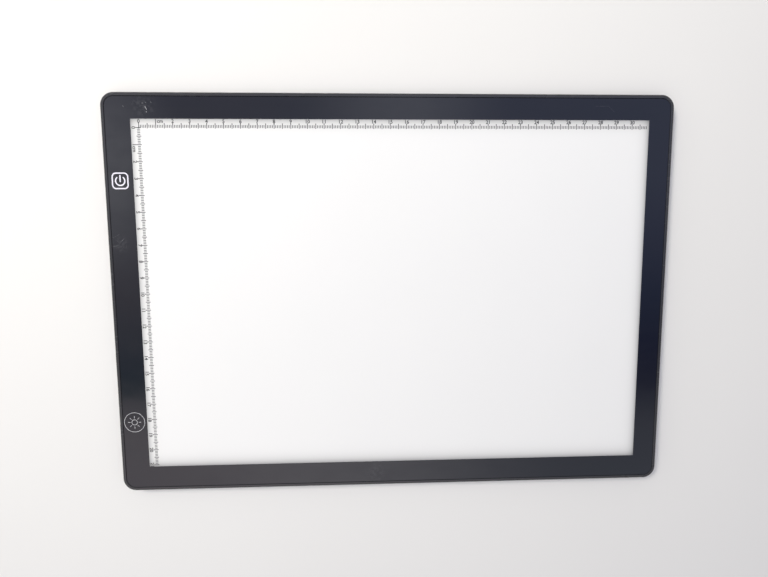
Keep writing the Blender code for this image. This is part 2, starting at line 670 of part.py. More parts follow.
def usb_socket(shop):
    """The micro-USB socket: a folded steel shell, open to the left, round an insulator with a tongue."""
    back = USB_MOUTH_X + USB_DEPTH
    top = MOUNTED + USB_HEIGHT
    shell = shop.place("usb_shell",
                       socket_block(USB_MOUTH_X, back, USB_WIDTH / 2, MOUNTED, top, USB_CHAMFER), "steel")
    inner_half = USB_WIDTH / 2 - USB_WALL
    inner_bottom = MOUNTED + USB_WALL
    inner_top = top - USB_WALL
    shop.cut(shell, socket_block(USB_MOUTH_X - CUT_OVER, back - USB_WALL, inner_half, inner_bottom,
                                 inner_top, USB_CHAMFER))
    base_back = back - USB_WALL - SHEET_GAP
    base_front = base_back - USB_BASE
    base_top = inner_top - SHEET_GAP
    insulator = shop.place("usb_insulator",
                           socket_block(base_front, base_back, inner_half - USB_CHAMFER,
                                        inner_bottom + SHEET_GAP, base_top), "chip_plastic")
    tongue_top = base_top - USB_WALL
    shop.join(insulator, socket_block(USB_MOUTH_X + USB_SETBACK, base_front + USB_BASE / 2,
                                      USB_TONGUE_WIDTH / 2, tongue_top - USB_TONGUE_HEIGHT, tongue_top))


def touch_spring(shop):
    """The coil that carries the touch of a finger from the panel to the board."""
    bottom = MOUNTED + SPRING_WIRE / 2
    top = PANEL_BOTTOM - SHEET_GAP - SPRING_WIRE / 2
    steps = SPRING_TURNS * SPRING_STEPS
    points = []
    for step in range(steps + 1):
        angle = 2 * math.pi * step / SPRING_STEPS
        x = KEY_X + SPRING_RADIUS * math.cos(angle)
        y = KEY_Y + SPRING_RADIUS * math.sin(angle)
        points.append((x, y, bottom + (top - bottom) * step / steps))
    shop.wire("touch_spring", points, SPRING_WIRE, "spring_steel")


def on_board(spot, size, lift=0.0):
    """A box of a size (x, y, z) that stands on the board over a spot."""
    return block((spot[0] - size[0] / 2, spot[1] - size[1] / 2, MOUNTED + lift),
                 (spot[0] + size[0] / 2, spot[1] + size[1] / 2, MOUNTED + size[2]))


def chip(shop, name, spot, size, pins):
    """A moulded chip, with a number of pins along its left side and along its right side."""
    height = size[2]
    foot = height / 5
    body = on_board(spot, size, lift=foot / 2)
    soften(body, level_edges(body, MOUNTED + height), height / 8, steps=1)
    result = shop.place(name, body, "chip_plastic")
    legs = []
    for side, count in zip((-1, 1), pins):
        x = spot[0] + side * (size[0] + PIN_REACH) / 2
        for row in range(count):
            y = spot[1] + (row - (count - 1) / 2) * PIN_PITCH
            legs.append(on_board((x, y), (2 * PIN_REACH, PIN_WIDTH, foot)))
    shop.join(result, several(legs))


def small_blocks(shop, kind, spots, size, slot):
    """Ceramic capacitors or resistors, with their edges broken."""
    for number, spot in enumerate(spots, start=1):
        shape = on_board(spot, size)
        soften(shape, list(shape.edges), size[2] / 8, steps=1)
        shop.place(f"{kind}_{number}", shape, slot)


def board_parts(shop):
    """What is soldered to the board beside the USB socket and the spring."""
    chip(shop, "touch_dimmer_chip", DIMMER_SPOT, DIMMER_SIZE, DIMMER_PINS)
    chip(shop, "led_driver_transistor", TRANSISTOR_SPOT, TRANSISTOR_SIZE, TRANSISTOR_PINS)
    small_blocks(shop, "capacitor", CAPACITOR_SPOTS, CAPACITOR_SIZE, "ceramic_tan")
    small_blocks(shop, "resistor", RESISTOR_SPOTS, RESISTOR_SIZE, "ceramic_black")


def led_socket_block(inset, front, back_y):
    """A box about the LED socket's middle line, inset from the socket's outside."""
    half = SOCKET_WIDTH / 2 - inset
    return block((SOCKET_X - half, back_y, MOUNTED + inset),
                 (SOCKET_X + half, front, MOUNTED + SOCKET_HEIGHT - inset))


def led_connection(shop):
    """The LED socket on the board, the plug in it and the two leads to the LED strip."""
    mouth = SOCKET_BACK_Y + SOCKET_DEPTH
    socket = shop.place("led_socket", led_socket_block(0.0, mouth, SOCKET_BACK_Y), "connector_plastic")
    shop.cut(socket, led_socket_block(SOCKET_WALL, mouth + CUT_OVER, SOCKET_BACK_Y + SOCKET_WALL))
    inset = SOCKET_WALL + SHEET_GAP
    plug_end = mouth + SOCKET_WALL
    shop.place("led_plug", led_socket_block(inset, plug_end, SOCKET_BACK_Y + inset), "connector_plastic")
    for colour, side in (("red", -1), ("black", 1)):
        start = Vector((SOCKET_X + side * LEAD_PITCH / 2, plug_end + SHEET_GAP))
        end = Vector((STRIP_LEFT + LEAD_PITCH * (1 + side / 2), STRIP_FRONT_Y - SHEET_GAP))
        shop.wire(f"{colour}_lead", lead_points(start, end), LEAD_DIAMETER, f"{colour}_wire")


def lead_points(start, end):
    """Points along a lead's middle line, which drifts sideways in an S and rises a little half way."""
    points = []
    for step in range(LEAD_STEPS + 1):
        share = step / LEAD_STEPS
        ease = share * share * (3 - 2 * share)
        x = start.x + (end.x - start.x) * ease
        y = start.y + (end.y - start.y) * share
        points.append((x, y, MOUNTED + SOCKET_HEIGHT / 2 + LEAD_BOW * math.sin(math.pi * share)))
    return points


def main():
    clear_scene()
    shop = Workshop("light_box")
    paint_all(shop)
    bezel_frame(shop)
    rear_cover(shop)
    case_screws(shop)
    feet(shop)
    front_panel(shop)
    printed_border(shop)
    panel_tapes(shop)
    light_stack(shop)
    edge_cushions(shop)
    led_strip(shop)
    control_board(shop)
    usb_socket(shop)
    touch_spring(shop)
    board_parts(shop)
    led_connection(shop)


main()
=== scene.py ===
"""Looks for the light box: fine outer shells, printed marks, finishes, studio floor, light and camera.

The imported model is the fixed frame. It lies face up on its feet, with the origin on the floor under its
middle, +X along its length, +Y towards the edge with the long ruler and +Z up. Lengths are in metres.
"""

import json
import math

import bmesh
import bpy
from mathutils import Matrix, Vector

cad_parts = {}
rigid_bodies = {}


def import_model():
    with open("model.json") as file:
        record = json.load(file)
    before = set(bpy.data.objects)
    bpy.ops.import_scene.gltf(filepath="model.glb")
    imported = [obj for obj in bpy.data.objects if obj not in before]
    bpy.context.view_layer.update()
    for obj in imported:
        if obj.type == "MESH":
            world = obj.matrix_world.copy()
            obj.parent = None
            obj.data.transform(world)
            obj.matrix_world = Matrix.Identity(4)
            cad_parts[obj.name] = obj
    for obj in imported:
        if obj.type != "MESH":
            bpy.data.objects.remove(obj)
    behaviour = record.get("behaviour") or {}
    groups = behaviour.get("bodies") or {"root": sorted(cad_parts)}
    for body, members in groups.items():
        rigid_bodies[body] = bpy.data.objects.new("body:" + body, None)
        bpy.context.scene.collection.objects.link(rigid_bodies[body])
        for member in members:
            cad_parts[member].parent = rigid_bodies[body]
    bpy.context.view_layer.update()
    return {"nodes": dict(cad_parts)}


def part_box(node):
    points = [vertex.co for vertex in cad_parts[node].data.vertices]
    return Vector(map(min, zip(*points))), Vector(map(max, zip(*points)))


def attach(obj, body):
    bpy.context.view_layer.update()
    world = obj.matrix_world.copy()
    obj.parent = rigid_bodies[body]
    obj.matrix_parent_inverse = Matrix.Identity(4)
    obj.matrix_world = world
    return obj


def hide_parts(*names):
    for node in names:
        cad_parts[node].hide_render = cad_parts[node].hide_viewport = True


for startup in list(bpy.data.objects):
    bpy.data.objects.remove(startup)
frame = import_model()

MM = 0.001

# Camera, light and floor. A lens and a sensor are in millimetres, as Blender takes them
CAMERA_PLACE = Vector((-20.6, 43.0, 339.6)) * MM
CAMERA_TARGET = Vector((-6.4, 5.3, 7.5)) * MM
CAMERA_UP = Vector((0.010, 0.9936, -0.1125))
CAMERA_LENS = 24.98
CAMERA_SENSOR = 36.0
CAMERA_REACH = 100.0
WINDOW_LIGHT_PLACE = Vector((-1280.0, 1140.0, 1400.0)) * MM
WINDOW_LIGHT_TARGET = Vector((-330.0, 414.0, 0.0)) * MM
WINDOW_LIGHT_SIZE = (1.2, 0.9)
WINDOW_LIGHT_SPREAD = math.radians(32.7)
WINDOW_LIGHT_POWER = 4.36
WINDOW_LIGHT_COLOUR = (1.0, 0.975, 0.93)
SKY_STRENGTH = 1.6
FLOOR_REACH = 6.0
# The gap under the feet
FLOOR_SLIP = 0.02 * MM
FLOOR_DRIFT = 3.0
FLOOR_DARK = (0.725, 0.718, 0.685)
FLOOR_PALE = (0.755, 0.748, 0.715)

# The case, as the CAD part has it
CASE_CORNER = 8.0 * MM
RIM_WIDTH = 2.2 * MM
RIM_ROUND = 1.3 * MM
INNER_ROUND = 0.2 * MM
BROKEN_EDGE = 0.12 * MM
PARTING_HEIGHT = 3.6 * MM
PARTING_GAP = 0.15 * MM
FLOOR_THICKNESS = 1.2 * MM
FLOOR_ROUND = 0.8 * MM
LEDGE_INSET = 9.5 * MM
LEDGE_CORNER = 2.9 * MM
LEDGE_TOP = 5.55 * MM
LEDGE_BOTTOM = 4.55 * MM
LIP_OUTER_INSET = 2.4 * MM
LIP_INNER_INSET = 3.6 * MM
PANEL_CORNER = 5.45 * MM
WINDOW_LOW = Vector((-156.9, -107.85)) * MM
WINDOW_HIGH = Vector((158.55, 108.35)) * MM
WINDOW_CORNER = 0.05 * MM
# The clearance between pieces, and how far a cutter reaches beyond what it cuts
SLIP = 0.1 * MM
CUT_OVER = 2.0 * MM
BAY_MARGIN = 3.0 * MM
POST_RADIUS = 2.6 * MM
BOSS_RADIUS = 2.9 * MM
PILOT_RADIUS = 1.1 * MM
SCREW_SHANK = 0.95 * MM
SCREW_CORE = 0.75 * MM
SCREW_PITCH = 0.5 * MM
SCREW_HEAD_HEIGHT = 1.15 * MM
SCREW_ROUND = 0.4 * MM
# A screw's cross recess: its reach as a share of the head's radius, its width as a share of that reach, how
# much of both is left at its bottom, and its depth as a share of the head's height
RECESS_REACH = 0.6
RECESS_WIDTH = 0.24
RECESS_TAPER = 0.45
RECESS_DEPTH = 0.6
HEAD_CLEARANCE = 0.25 * MM
RIB_THICKNESS = 0.8 * MM
RIB_HEIGHT = 4.3 * MM
BOARD_BOSS_RADIUS = 1.6 * MM
BOARD_PILOT_RADIUS = 0.85 * MM
BOARD_BOSS_TOP = 2.4 * MM
PORT_MARGIN = 0.4 * MM
PORT_BELOW = 0.2 * MM
PORT_ABOVE = 0.1 * MM
PORT_CORNER = 0.8 * MM
PORT_FLARE = 0.25 * MM
FOOT_ROUND = 0.4 * MM
FOOT_GROOVE = 0.15 * MM
# The ring pressed into a foot's sole: shares of its radius, and the depth at each
FOOT_RING = ((0.66, 0.0), (0.62, FOOT_GROOVE), (0.52, FOOT_GROOVE), (0.48, 0.0))
MOUTH_FLARE = 0.15 * MM

# Smoothness
CORNER_STEPS = 20
ROUND_STEPS = 8
CIRCLE_STEPS = 64
SCREW_STEPS = 32
SHARP_ANGLE = math.radians(35)

# Printed marks
MARK_DEPTH = 0.02 * MM
# Points of a character that lie closer than this are merged
MARK_WELD = MARK_DEPTH / 40
TICK_WIDTH = {"short": 0.42 * MM, "long": 0.46 * MM, "centimetre": 0.46 * MM}
RULER_ORIGIN = Vector((-152.1, 103.25)) * MM
# Counts of millimetres
CENTIMETRE = 10
TOP_RULER_LENGTH = 309
SIDE_RULER_LENGTH = 210
# Where a ruler's line runs, and where its ticks start and end across it
TOP_TICKS = {"line": 103.25 * MM, "short": (-0.15 * MM, 1.60 * MM), "long": (-0.50 * MM, 2.60 * MM),
             "centimetre": (-0.50 * MM, 2.75 * MM)}
SIDE_TICKS = {"line": -152.25 * MM, "short": (-0.85 * MM, 0.85 * MM), "long": (-1.40 * MM, 1.40 * MM),
              "centimetre": (-1.85 * MM, 1.40 * MM)}
# A digit's height, that height as a share of the font's size, and how much its outline is thickened, likewise
DIGIT_HEIGHT = 2.1 * MM
DIGIT_SHARE = 0.7
DIGIT_WEIGHT = 0.026
DIGIT_STEPS = 4
TOP_LABEL_LINE = 106.0 * MM
SIDE_LABEL_LINE = -156.3 * MM
UNIT_OFFSET = 2.6 * MM
KEY_SPOT = Vector((-164.8, 72.0)) * MM
KEY_SIZE = Vector((9.9, 9.9)) * MM
KEY_CORNER = 2.5 * MM
KEY_LINE = 0.76 * MM
POWER_RADIUS = 2.72 * MM
POWER_GAP = math.radians(38)
POWER_BAR_TOP = 3.5 * MM
POWER_BAR_BOTTOM = -0.7 * MM
BADGE_SPOT = Vector((-164.8, -78.4)) * MM
BADGE_RADIUS = 6.3 * MM
BADGE_LINE = 0.3 * MM
SUN_RADIUS = 1.7 * MM
SUN_LINE = 0.30 * MM
SUN_RAYS = 8
SUN_RAY_START = 2.6 * MM
SUN_RAY_END = 4.1 * MM

case_low, case_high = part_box("bezel_frame")
cover_low, cover_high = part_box("rear_cover")
panel_low, panel_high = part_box("front_panel")
ink_low, ink_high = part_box("printed_border")
shell_low, shell_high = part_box("usb_shell")
board_low, board_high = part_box("control_board")
WALL_TOP = PARTING_HEIGHT - PARTING_GAP
FLOOR_TOP = cover_low.z + FLOOR_THICKNESS
BOSS_TOP = PARTING_HEIGHT - 2 * SLIP
WINDOW_HEIGHT = panel_high.z
INK_HEIGHT = ink_high.z


# Shader graphs

class Graph:
    """Adds nodes to a tree. An input takes a number, a colour or another node's output."""

    def __init__(self, tree):
        self.tree = tree
        self.tree.nodes.clear()

    def add(self, kind, inputs=None, **settings):
        node = self.tree.nodes.new("ShaderNode" + kind)
        for name, value in settings.items():
            setattr(node, name, value)
        for key, value in (inputs or {}).items():
            self.feed(node.inputs[key], value)
        return node

    def feed(self, socket, value):
        if isinstance(value, bpy.types.NodeSocket):
            self.tree.links.new(value, socket)
        else:
            socket.default_value = value

    def math(self, operation, *values):
        return self.add("Math", dict(enumerate(values)), operation=operation).outputs[0]

    def vector(self, operation, *values):
        return self.add("VectorMath", dict(enumerate(values)), operation=operation)

    def split(self, vector):
        return self.add("SeparateXYZ", {"Vector": vector}).outputs

    def span(self, value, low, high, to_low=0.0, to_high=1.0, kind="SMOOTHSTEP"):
        """Map a value from one range to another, held at both ends."""
        numbers = {"Value": value, "From Min": low, "From Max": high, "To Min": to_low, "To Max": to_high}
        return self.add("MapRange", numbers, interpolation_type=kind).outputs["Result"]

    def mix(self, share, first, second, blend="MIX"):
        node = self.add("Mix", data_type="RGBA", blend_type=blend)
        factor, low, high = (s for s in node.inputs if s.enabled)
        for socket, value in ((factor, share), (low, first), (high, second)):
            self.feed(socket, value)
        return next(s for s in node.outputs if s.enabled)

    def ramp(self, value, stops):
        """A ramp that runs straight from one (position, colour) stop to the next."""
        node = self.add("ValToRGB", {"Fac": value})
        node.color_ramp.interpolation = "LINEAR"
        elements = node.color_ramp.elements
        while len(elements) < len(stops):
            elements.new(1.0)
        for element, (position, colour) in zip(elements, stops):
            element.position = position
            element.color = opaque(colour)
        return node.outputs["Color"]

    def noise(self, vector, scale, detail=3.0, roughness=0.55):
        numbers = {"Vector": vector, "Scale": scale, "Detail": detail, "Roughness": roughness}
        return self.add("TexNoise", numbers).outputs["Fac"]

    def stretched(self, vector, x, y, z):
        return self.vector("MULTIPLY", vector, (x, y, z)).outputs[0]

    def scaled(self, vector, factor):
        node = self.vector("SCALE", vector)
        self.feed(node.inputs["Scale"], factor)
        return node.outputs[0]

    def bump(self, height, depth):
        return self.add("Bump", {"Height": height, "Distance": depth, "Strength": 1.0}).outputs["Normal"]

    def near(self, place, spot, reach):
        """1 at a spot, falling smoothly to 0 at a distance from it."""
        distance = self.vector("DISTANCE", place, spot).outputs["Value"]
        return self.span(distance, 0.0, reach, 1.0, 0.0)

    def from_line(self, place, start, end):
        """The distance from a straight line between two points."""
        along = end - start
        reach = self.vector("DOT_PRODUCT", self.vector("SUBTRACT", place, start).outputs[0],
                            along / along.length_squared).outputs["Value"]
        share = self.span(reach, 0.0, 1.0, kind="LINEAR")
        nearest = self.vector("ADD", self.scaled(along, share), start).outputs[0]
        return self.vector("DISTANCE", place, nearest).outputs["Value"]


def opaque(colour):
    return (*colour, 1.0)


def grey(value):
    return (value, value, value)


class Finish(Graph):
    """A material with a Principled shader, and the object's own coordinates to draw patterns in."""

    def __init__(self, name):
        self.material = bpy.data.materials.new(name)
        self.material.use_nodes = True
        super().__init__(self.material.node_tree)
        self.place = self.add("TexCoord").outputs["Object"]
        self.shader = self.add("BsdfPrincipled")
        self.add("OutputMaterial", {"Surface": self.shader.outputs[0]})

    def set(self, **values):
        for name, value in values.items():
            self.feed(self.shader.inputs[name.replace("_", " ").title().replace("Ior", "IOR")], value)
        return self.material

    def varied(self, noise, middle, variation):
        """A value that follows a noise to a little either side of its middle."""
        return self.span(noise, *NOISE_MIDDLE, middle - variation, middle + variation)


# Finishes. Along each axis a pattern has about as many features to the metre as its scale times its stretch

# Noise lies mostly between these
NOISE_MIDDLE = (0.3, 0.7)
FILM_VARIATION = 0.05
SPECK_VARIATION = 0.06
ACRYLIC_IOR = 1.49
DOT_SCALE = 700.0
DOT_EDGE = (0.22, 0.30)
TRACK_SCALE = 520.0
TRACK_STRETCH = (1.0, 0.45, 1.0)
TRACK_EDGE = (0.30, 0.34)
METAL_LINES = (60.0, 1500.0, 1500.0)
CASE_DRIFT = 35.0
CASE_RUBS = (60.0, 900.0, 900.0)
CASE_RUB_RANGE = (0.60, 0.78)
CASE_RUB_DULLING = 0.4
CASE_DULL_RANGE = (0.3, 0.9)


def moulded_finish(name, dark, light, grain, grain_depth, gloss, dull):
    """Injection-moulded plastic: a fine grain, a slow drift in gloss, and hairline rubs along its length."""
    finish = Finish(name)
    drift = finish.noise(finish.place, CASE_DRIFT)
    fine = finish.noise(finish.place, grain, detail=2.0)
    rubs = finish.noise(finish.stretched(finish.place, *CASE_RUBS), 1.0, detail=4.0)
    worn = finish.math("MULTIPLY", finish.span(rubs, *CASE_RUB_RANGE), CASE_RUB_DULLING)
    tone = finish.mix(drift, opaque(dark), opaque(light))
    roughness = finish.span(finish.math("ADD", drift, worn), *CASE_DULL_RANGE, gloss, dull)
    return finish.set(base_color=tone, roughness=roughness, normal=finish.bump(fine, grain_depth))


def frame_finish():
    """The satin black of the rim."""
    return moulded_finish("black_case_finish", (0.024, 0.024, 0.026), (0.032, 0.032, 0.034), grain=2600.0,
                          grain_depth=0.004 * MM, gloss=0.20, dull=0.34)


def cover_finish():
    """The duller, coarser black of the cover."""
    return moulded_finish("black_case_grain", (0.020, 0.020, 0.022), (0.030, 0.030, 0.032), grain=1300.0,
                          grain_depth=0.03 * MM, gloss=0.46, dull=0.62)


def on_ink(x, y):
    """A spot on the border's face, from its place in millimetres."""
    return Vector((x * MM, y * MM, INK_HEIGHT))


# The border's ink
INK_DARK = (0.0045, 0.0052, 0.0085)
INK_PALE = (0.0065, 0.0072, 0.0105)
INK_GLOSS = 0.07
INK_DULL = 0.16
INK_WAVES = 90.0
INK_WAVE_DEPTH = 0.02 * MM
SMEAR_STRETCH = (1.0, 2.4, 1.0)
SMEAR_SCALE = 38.0
SMEAR_RANGE = (0.35, 0.75)
# Scratches in it: both ends, and how white each is
SCRATCHES = (
    (on_ink(-147.8, 115.3), on_ink(-147.0, 113.8), 0.75),
    (on_ink(-147.0, 113.8), on_ink(-147.2, 112.2), 0.75),
    (on_ink(-149.6, 117.4), on_ink(-148.9, 117.3), 0.30),
    (on_ink(-147.3, 117.8), on_ink(-147.1, 117.5), 0.40),
    (on_ink(-144.5, 118.3), on_ink(-144.2, 117.6), 0.25),
    (on_ink(-160.8, 115.8), on_ink(-160.3, 115.2), 0.20),
    (on_ink(-167.2, 34.9), on_ink(-164.6, 37.3), 0.14),
    (on_ink(-171.0, 38.0), on_ink(-167.2, 39.9), 0.06),
    (on_ink(-171.6, 32.6), on_ink(-168.1, 33.3), 0.08),
    (on_ink(-163.3, 33.7), on_ink(-163.7, 31.7), 0.07),
    (on_ink(124.6, 116.7), on_ink(132.5, 116.8), 0.035),
    (on_ink(132.5, 116.8), on_ink(136.2, 113.4), 0.025),
)
SCRATCH_WIDTH = 0.30 * MM
SCRATCH_TONE = 0.6
SCRATCH_DULLING = 0.3
SCRATCH_BREAKS = 1300.0
SCRATCH_BREAK_RANGE = (0.35, 0.60)
# Handled spots that are duller and paler than the rest: the middle and the reach of each
SMUDGES = (
    (on_ink(-149.0, 116.0), 11.0 * MM),
    (on_ink(-166.5, 34.0), 7.5 * MM),
    (on_ink(-12.0, -115.5), 9.0 * MM),
)
SMUDGE_TONE = 0.9
SMUDGE_STRENGTH = 0.026
SMUDGE_DULLING = 0.08
SMUDGE_MOTTLE = 420.0
SMUDGE_MOTTLE_RANGE = (0.42, 0.68)


def scratches(finish):
    """How worn a place on the border is by its scratches, which are broken along their length."""
    worn = 0.0
    for start, end, white in SCRATCHES:
        mark = finish.span(finish.from_line(finish.place, start, end), 0.0, SCRATCH_WIDTH, white, 0.0)
        worn = finish.math("MAXIMUM", mark, worn)
    breaks = finish.noise(finish.place, SCRATCH_BREAKS, detail=2.0)
    return finish.math("MULTIPLY", worn, finish.span(breaks, *SCRATCH_BREAK_RANGE))


def smudges(finish):
    """How much a place on the border has been handled."""
    handled = 0.0
    for spot, reach in SMUDGES:
        handled = finish.math("MAXIMUM", finish.near(finish.place, spot, reach), handled)
    mottle = finish.noise(finish.place, SMUDGE_MOTTLE, detail=4.0)
    return finish.math("MULTIPLY", handled, finish.span(mottle, *SMUDGE_MOTTLE_RANGE))


def ink_finish():
    """Glossy ink, with smears, slight waviness, scratches and handled spots."""
    finish = Finish("black_ink_finish")
    streaks = finish.stretched(finish.place, *SMEAR_STRETCH)
    smear = finish.noise(streaks, SMEAR_SCALE, detail=5.0, roughness=0.6)
    worn = scratches(finish)
    handled = smudges(finish)
    tone = finish.mix(smear, opaque(INK_DARK), opaque(INK_PALE))
    tone = finish.mix(finish.math("MULTIPLY", handled, SMUDGE_STRENGTH), tone, opaque(grey(SMUDGE_TONE)))
    tone = finish.mix(worn, tone, opaque(grey(SCRATCH_TONE)))
    roughness = finish.span(smear, *SMEAR_RANGE, INK_GLOSS, INK_DULL)
    for wear, dulling in ((worn, SCRATCH_DULLING), (handled, SMUDGE_DULLING)):
        roughness = finish.math("ADD", roughness, finish.math("MULTIPLY", wear, dulling))
    waves = finish.noise(finish.place, INK_WAVES, detail=1.0)
    return finish.set(base_color=tone, roughness=roughness, normal=finish.bump(waves, INK_WAVE_DEPTH))


def printed_finish(name, dark, light, scale=1400.0, roughness=0.35, depth=0.004 * MM):
    """The ink of a printed mark, with a fine mottle."""
    finish = Finish(name)
    mottle = finish.noise(finish.place, scale)
    tone = finish.mix(mottle, opaque(dark), opaque(light))
    return finish.set(base_color=tone, roughness=roughness, normal=finish.bump(mottle, depth))


# Painted shade along the window's edges, where the border shades it: how much darker the window is at each
# edge, and how far that reaches
PAINTED_EDGE_SHADE = {"left": (0.48, 1.9 * MM), "right": (0.58, 2.1 * MM), "bottom": (0.60, 2.7 * MM),
              "top": (0.52, 2.6 * MM)}
OPAL_DARK = (0.775, 0.775, 0.748)
OPAL_PALE = (0.795, 0.794, 0.766)
OPAL_GLOSS = 0.34
OPAL_DULL = 0.38
OPAL_HAZE = 14.0
OPAL_SMEAR_STRETCH = (1.0, 2.0, 1.0)
OPAL_SMEAR_SCALE = 30.0
OPAL_SMEAR_RANGE = (0.3, 0.8)


def window_light_share(finish):
    """How much light a place in the window gets, which lies in the shade of the border along its edges."""
    x, y, _ = finish.split(finish.place)
    inward = {
        "left": finish.math("SUBTRACT", x, WINDOW_LOW.x),
        "right": finish.math("SUBTRACT", WINDOW_HIGH.x, x),
        "bottom": finish.math("SUBTRACT", y, WINDOW_LOW.y),
        "top": finish.math("SUBTRACT", WINDOW_HIGH.y, y),
    }
    share = 1.0
    for side, distance in inward.items():
        darkest, fade = PAINTED_EDGE_SHADE[side]
        depth = finish.math("MULTIPLY", finish.math("MAXIMUM", distance, 0.0), -1.0 / fade)
        shade = finish.math("MULTIPLY", finish.math("EXPONENT", depth), darkest)
        share = finish.math("MULTIPLY", finish.math("SUBTRACT", 1.0, shade), share)
    return share


def opal_finish():
    """Opal acrylic over the white layers, with the border's shade painted into its colour along the window's
    edges.
    """
    finish = Finish("opal_acrylic_painted_shade_finish")
    haze = finish.noise(finish.place, OPAL_HAZE, detail=4.0)
    white = finish.mix(haze, opaque(OPAL_DARK), opaque(OPAL_PALE))
    # Painted shade: the white is darkened towards the window's edges, where the border shades it
    shaded = finish.scaled(white, window_light_share(finish))
    smear = finish.noise(finish.stretched(finish.place, *OPAL_SMEAR_STRETCH), OPAL_SMEAR_SCALE, detail=5.0)
    roughness = finish.span(smear, *OPAL_SMEAR_RANGE, OPAL_GLOSS, OPAL_DULL)
    fine = finish.noise(finish.place, scale=2200.0, detail=1.0)
    return finish.set(base_color=shaded, roughness=roughness, normal=finish.bump(fine, depth=0.001 * MM))


def rubber_finish():
    """Matt rubber with dust in its pores."""
    finish = Finish("rubber_finish")
    dust = finish.noise(finish.place, scale=420.0, detail=6.0)
    tone = finish.mix(finish.span(dust, low=0.5, high=0.8), opaque(grey(0.022)), opaque(grey(0.060)))
    pores = finish.noise(finish.place, scale=3200.0)
    return finish.set(base_color=tone, roughness=0.82, normal=finish.bump(pores, depth=0.02 * MM))


def foam_finish(name, dark, light, pore_scale):
    """Closed-cell foam, with round pores."""
    finish = Finish(name)
    cells = finish.add("TexVoronoi", {"Vector": finish.place, "Scale": pore_scale}).outputs["Distance"]
    tone = finish.mix(finish.span(cells, low=0.1, high=0.6), opaque(dark), opaque(light))
    return finish.set(base_color=tone, roughness=0.9, normal=finish.bump(cells, depth=0.05 * MM))


def film_finish(name, dark, light, roughness, grain):
    """A plastic film: nearly even, with a fine matt grain."""
    finish = Finish(name)
    drift = finish.noise(finish.place, scale=25.0)
    fine = finish.noise(finish.place, grain, detail=1.0)
    tone = finish.mix(drift, opaque(dark), opaque(light))
    return finish.set(base_color=tone, roughness=finish.varied(fine, roughness, FILM_VARIATION),
                      normal=finish.bump(fine, depth=0.004 * MM))


def light_guide_finish():
    """Clear acrylic with a grid of matt white dots that turn the light out of it."""
    finish = Finish("clear_acrylic_finish")
    grid = finish.add("TexVoronoi", {"Vector": finish.place, "Scale": DOT_SCALE, "Randomness": 0.0})
    dots = finish.span(grid.outputs["Distance"], *DOT_EDGE, to_low=1.0, to_high=0.0)
    tone = finish.mix(dots, opaque((0.86, 0.92, 0.93)), opaque(grey(0.95)))
    roughness = finish.span(dots, 0.0, 1.0, to_low=0.04, to_high=0.6)
    finish.set(base_color=tone, roughness=roughness, ior=ACRYLIC_IOR)
    return finish.set(transmission_weight=finish.span(dots, 0.0, 1.0, to_low=0.85, to_high=0.1))


def led_board_finish():
    """White solder mask, with pale yellow phosphor where the LEDs stand proud of it."""
    finish = Finish("led_board_finish")
    strip_low, strip_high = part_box("led_strip")
    face = (strip_low.y + strip_high.y) / 2
    across = finish.split(finish.place)[1]
    ahead = finish.span(across, face - SLIP, face, to_low=1.0, to_high=0.0, kind="LINEAR")
    grain = finish.noise(finish.place, scale=500.0)
    mask = finish.mix(grain, opaque((0.80, 0.80, 0.76)), opaque((0.88, 0.88, 0.84)))
    tone = finish.mix(ahead, mask, opaque((0.90, 0.78, 0.34)))
    return finish.set(base_color=tone, roughness=0.42, normal=finish.bump(grain, depth=0.01 * MM))


def green_board_finish():
    """Green solder mask over copper tracks, which stand a little proud and paler."""
    finish = Finish("green_board_finish")
    stretched = finish.stretched(finish.place, *TRACK_STRETCH)
    cells = finish.add("TexVoronoi", {"Vector": stretched, "Scale": TRACK_SCALE, "Randomness": 0.75},
                       distance="CHEBYCHEV", feature="F1")
    tracks = finish.span(cells.outputs["Distance"], *TRACK_EDGE)
    tone = finish.mix(tracks, opaque((0.012, 0.110, 0.045)), opaque((0.035, 0.220, 0.085)))
    return finish.set(base_color=tone, roughness=0.30, normal=finish.bump(tracks, depth=0.03 * MM))


def metal_finish(name, dark, light, gloss, dull):
    """Rolled or drawn metal, with fine lines along one direction."""
    finish = Finish(name)
    lines = finish.noise(finish.stretched(finish.place, *METAL_LINES), 1.0, detail=4.0)
    tone = finish.mix(lines, opaque(dark), opaque(light))
    roughness = finish.span(lines, *NOISE_MIDDLE, gloss, dull)
    return finish.set(base_color=tone, roughness=roughness, metallic=1.0,
                      normal=finish.bump(lines, depth=0.003 * MM))


def speckled_finish(name, dark, light, roughness, scale):
    """A hard, slightly grainy solid: fired ceramic, chip mould compound, connector nylon or wire jacket."""
    finish = Finish(name)
    speck = finish.noise(finish.place, scale, detail=4.0)
    tone = finish.mix(finish.span(speck, *NOISE_MIDDLE), opaque(dark), opaque(light))
    return finish.set(base_color=tone, roughness=finish.varied(speck, roughness, SPECK_VARIATION),
                      normal=finish.bump(speck, depth=0.008 * MM))


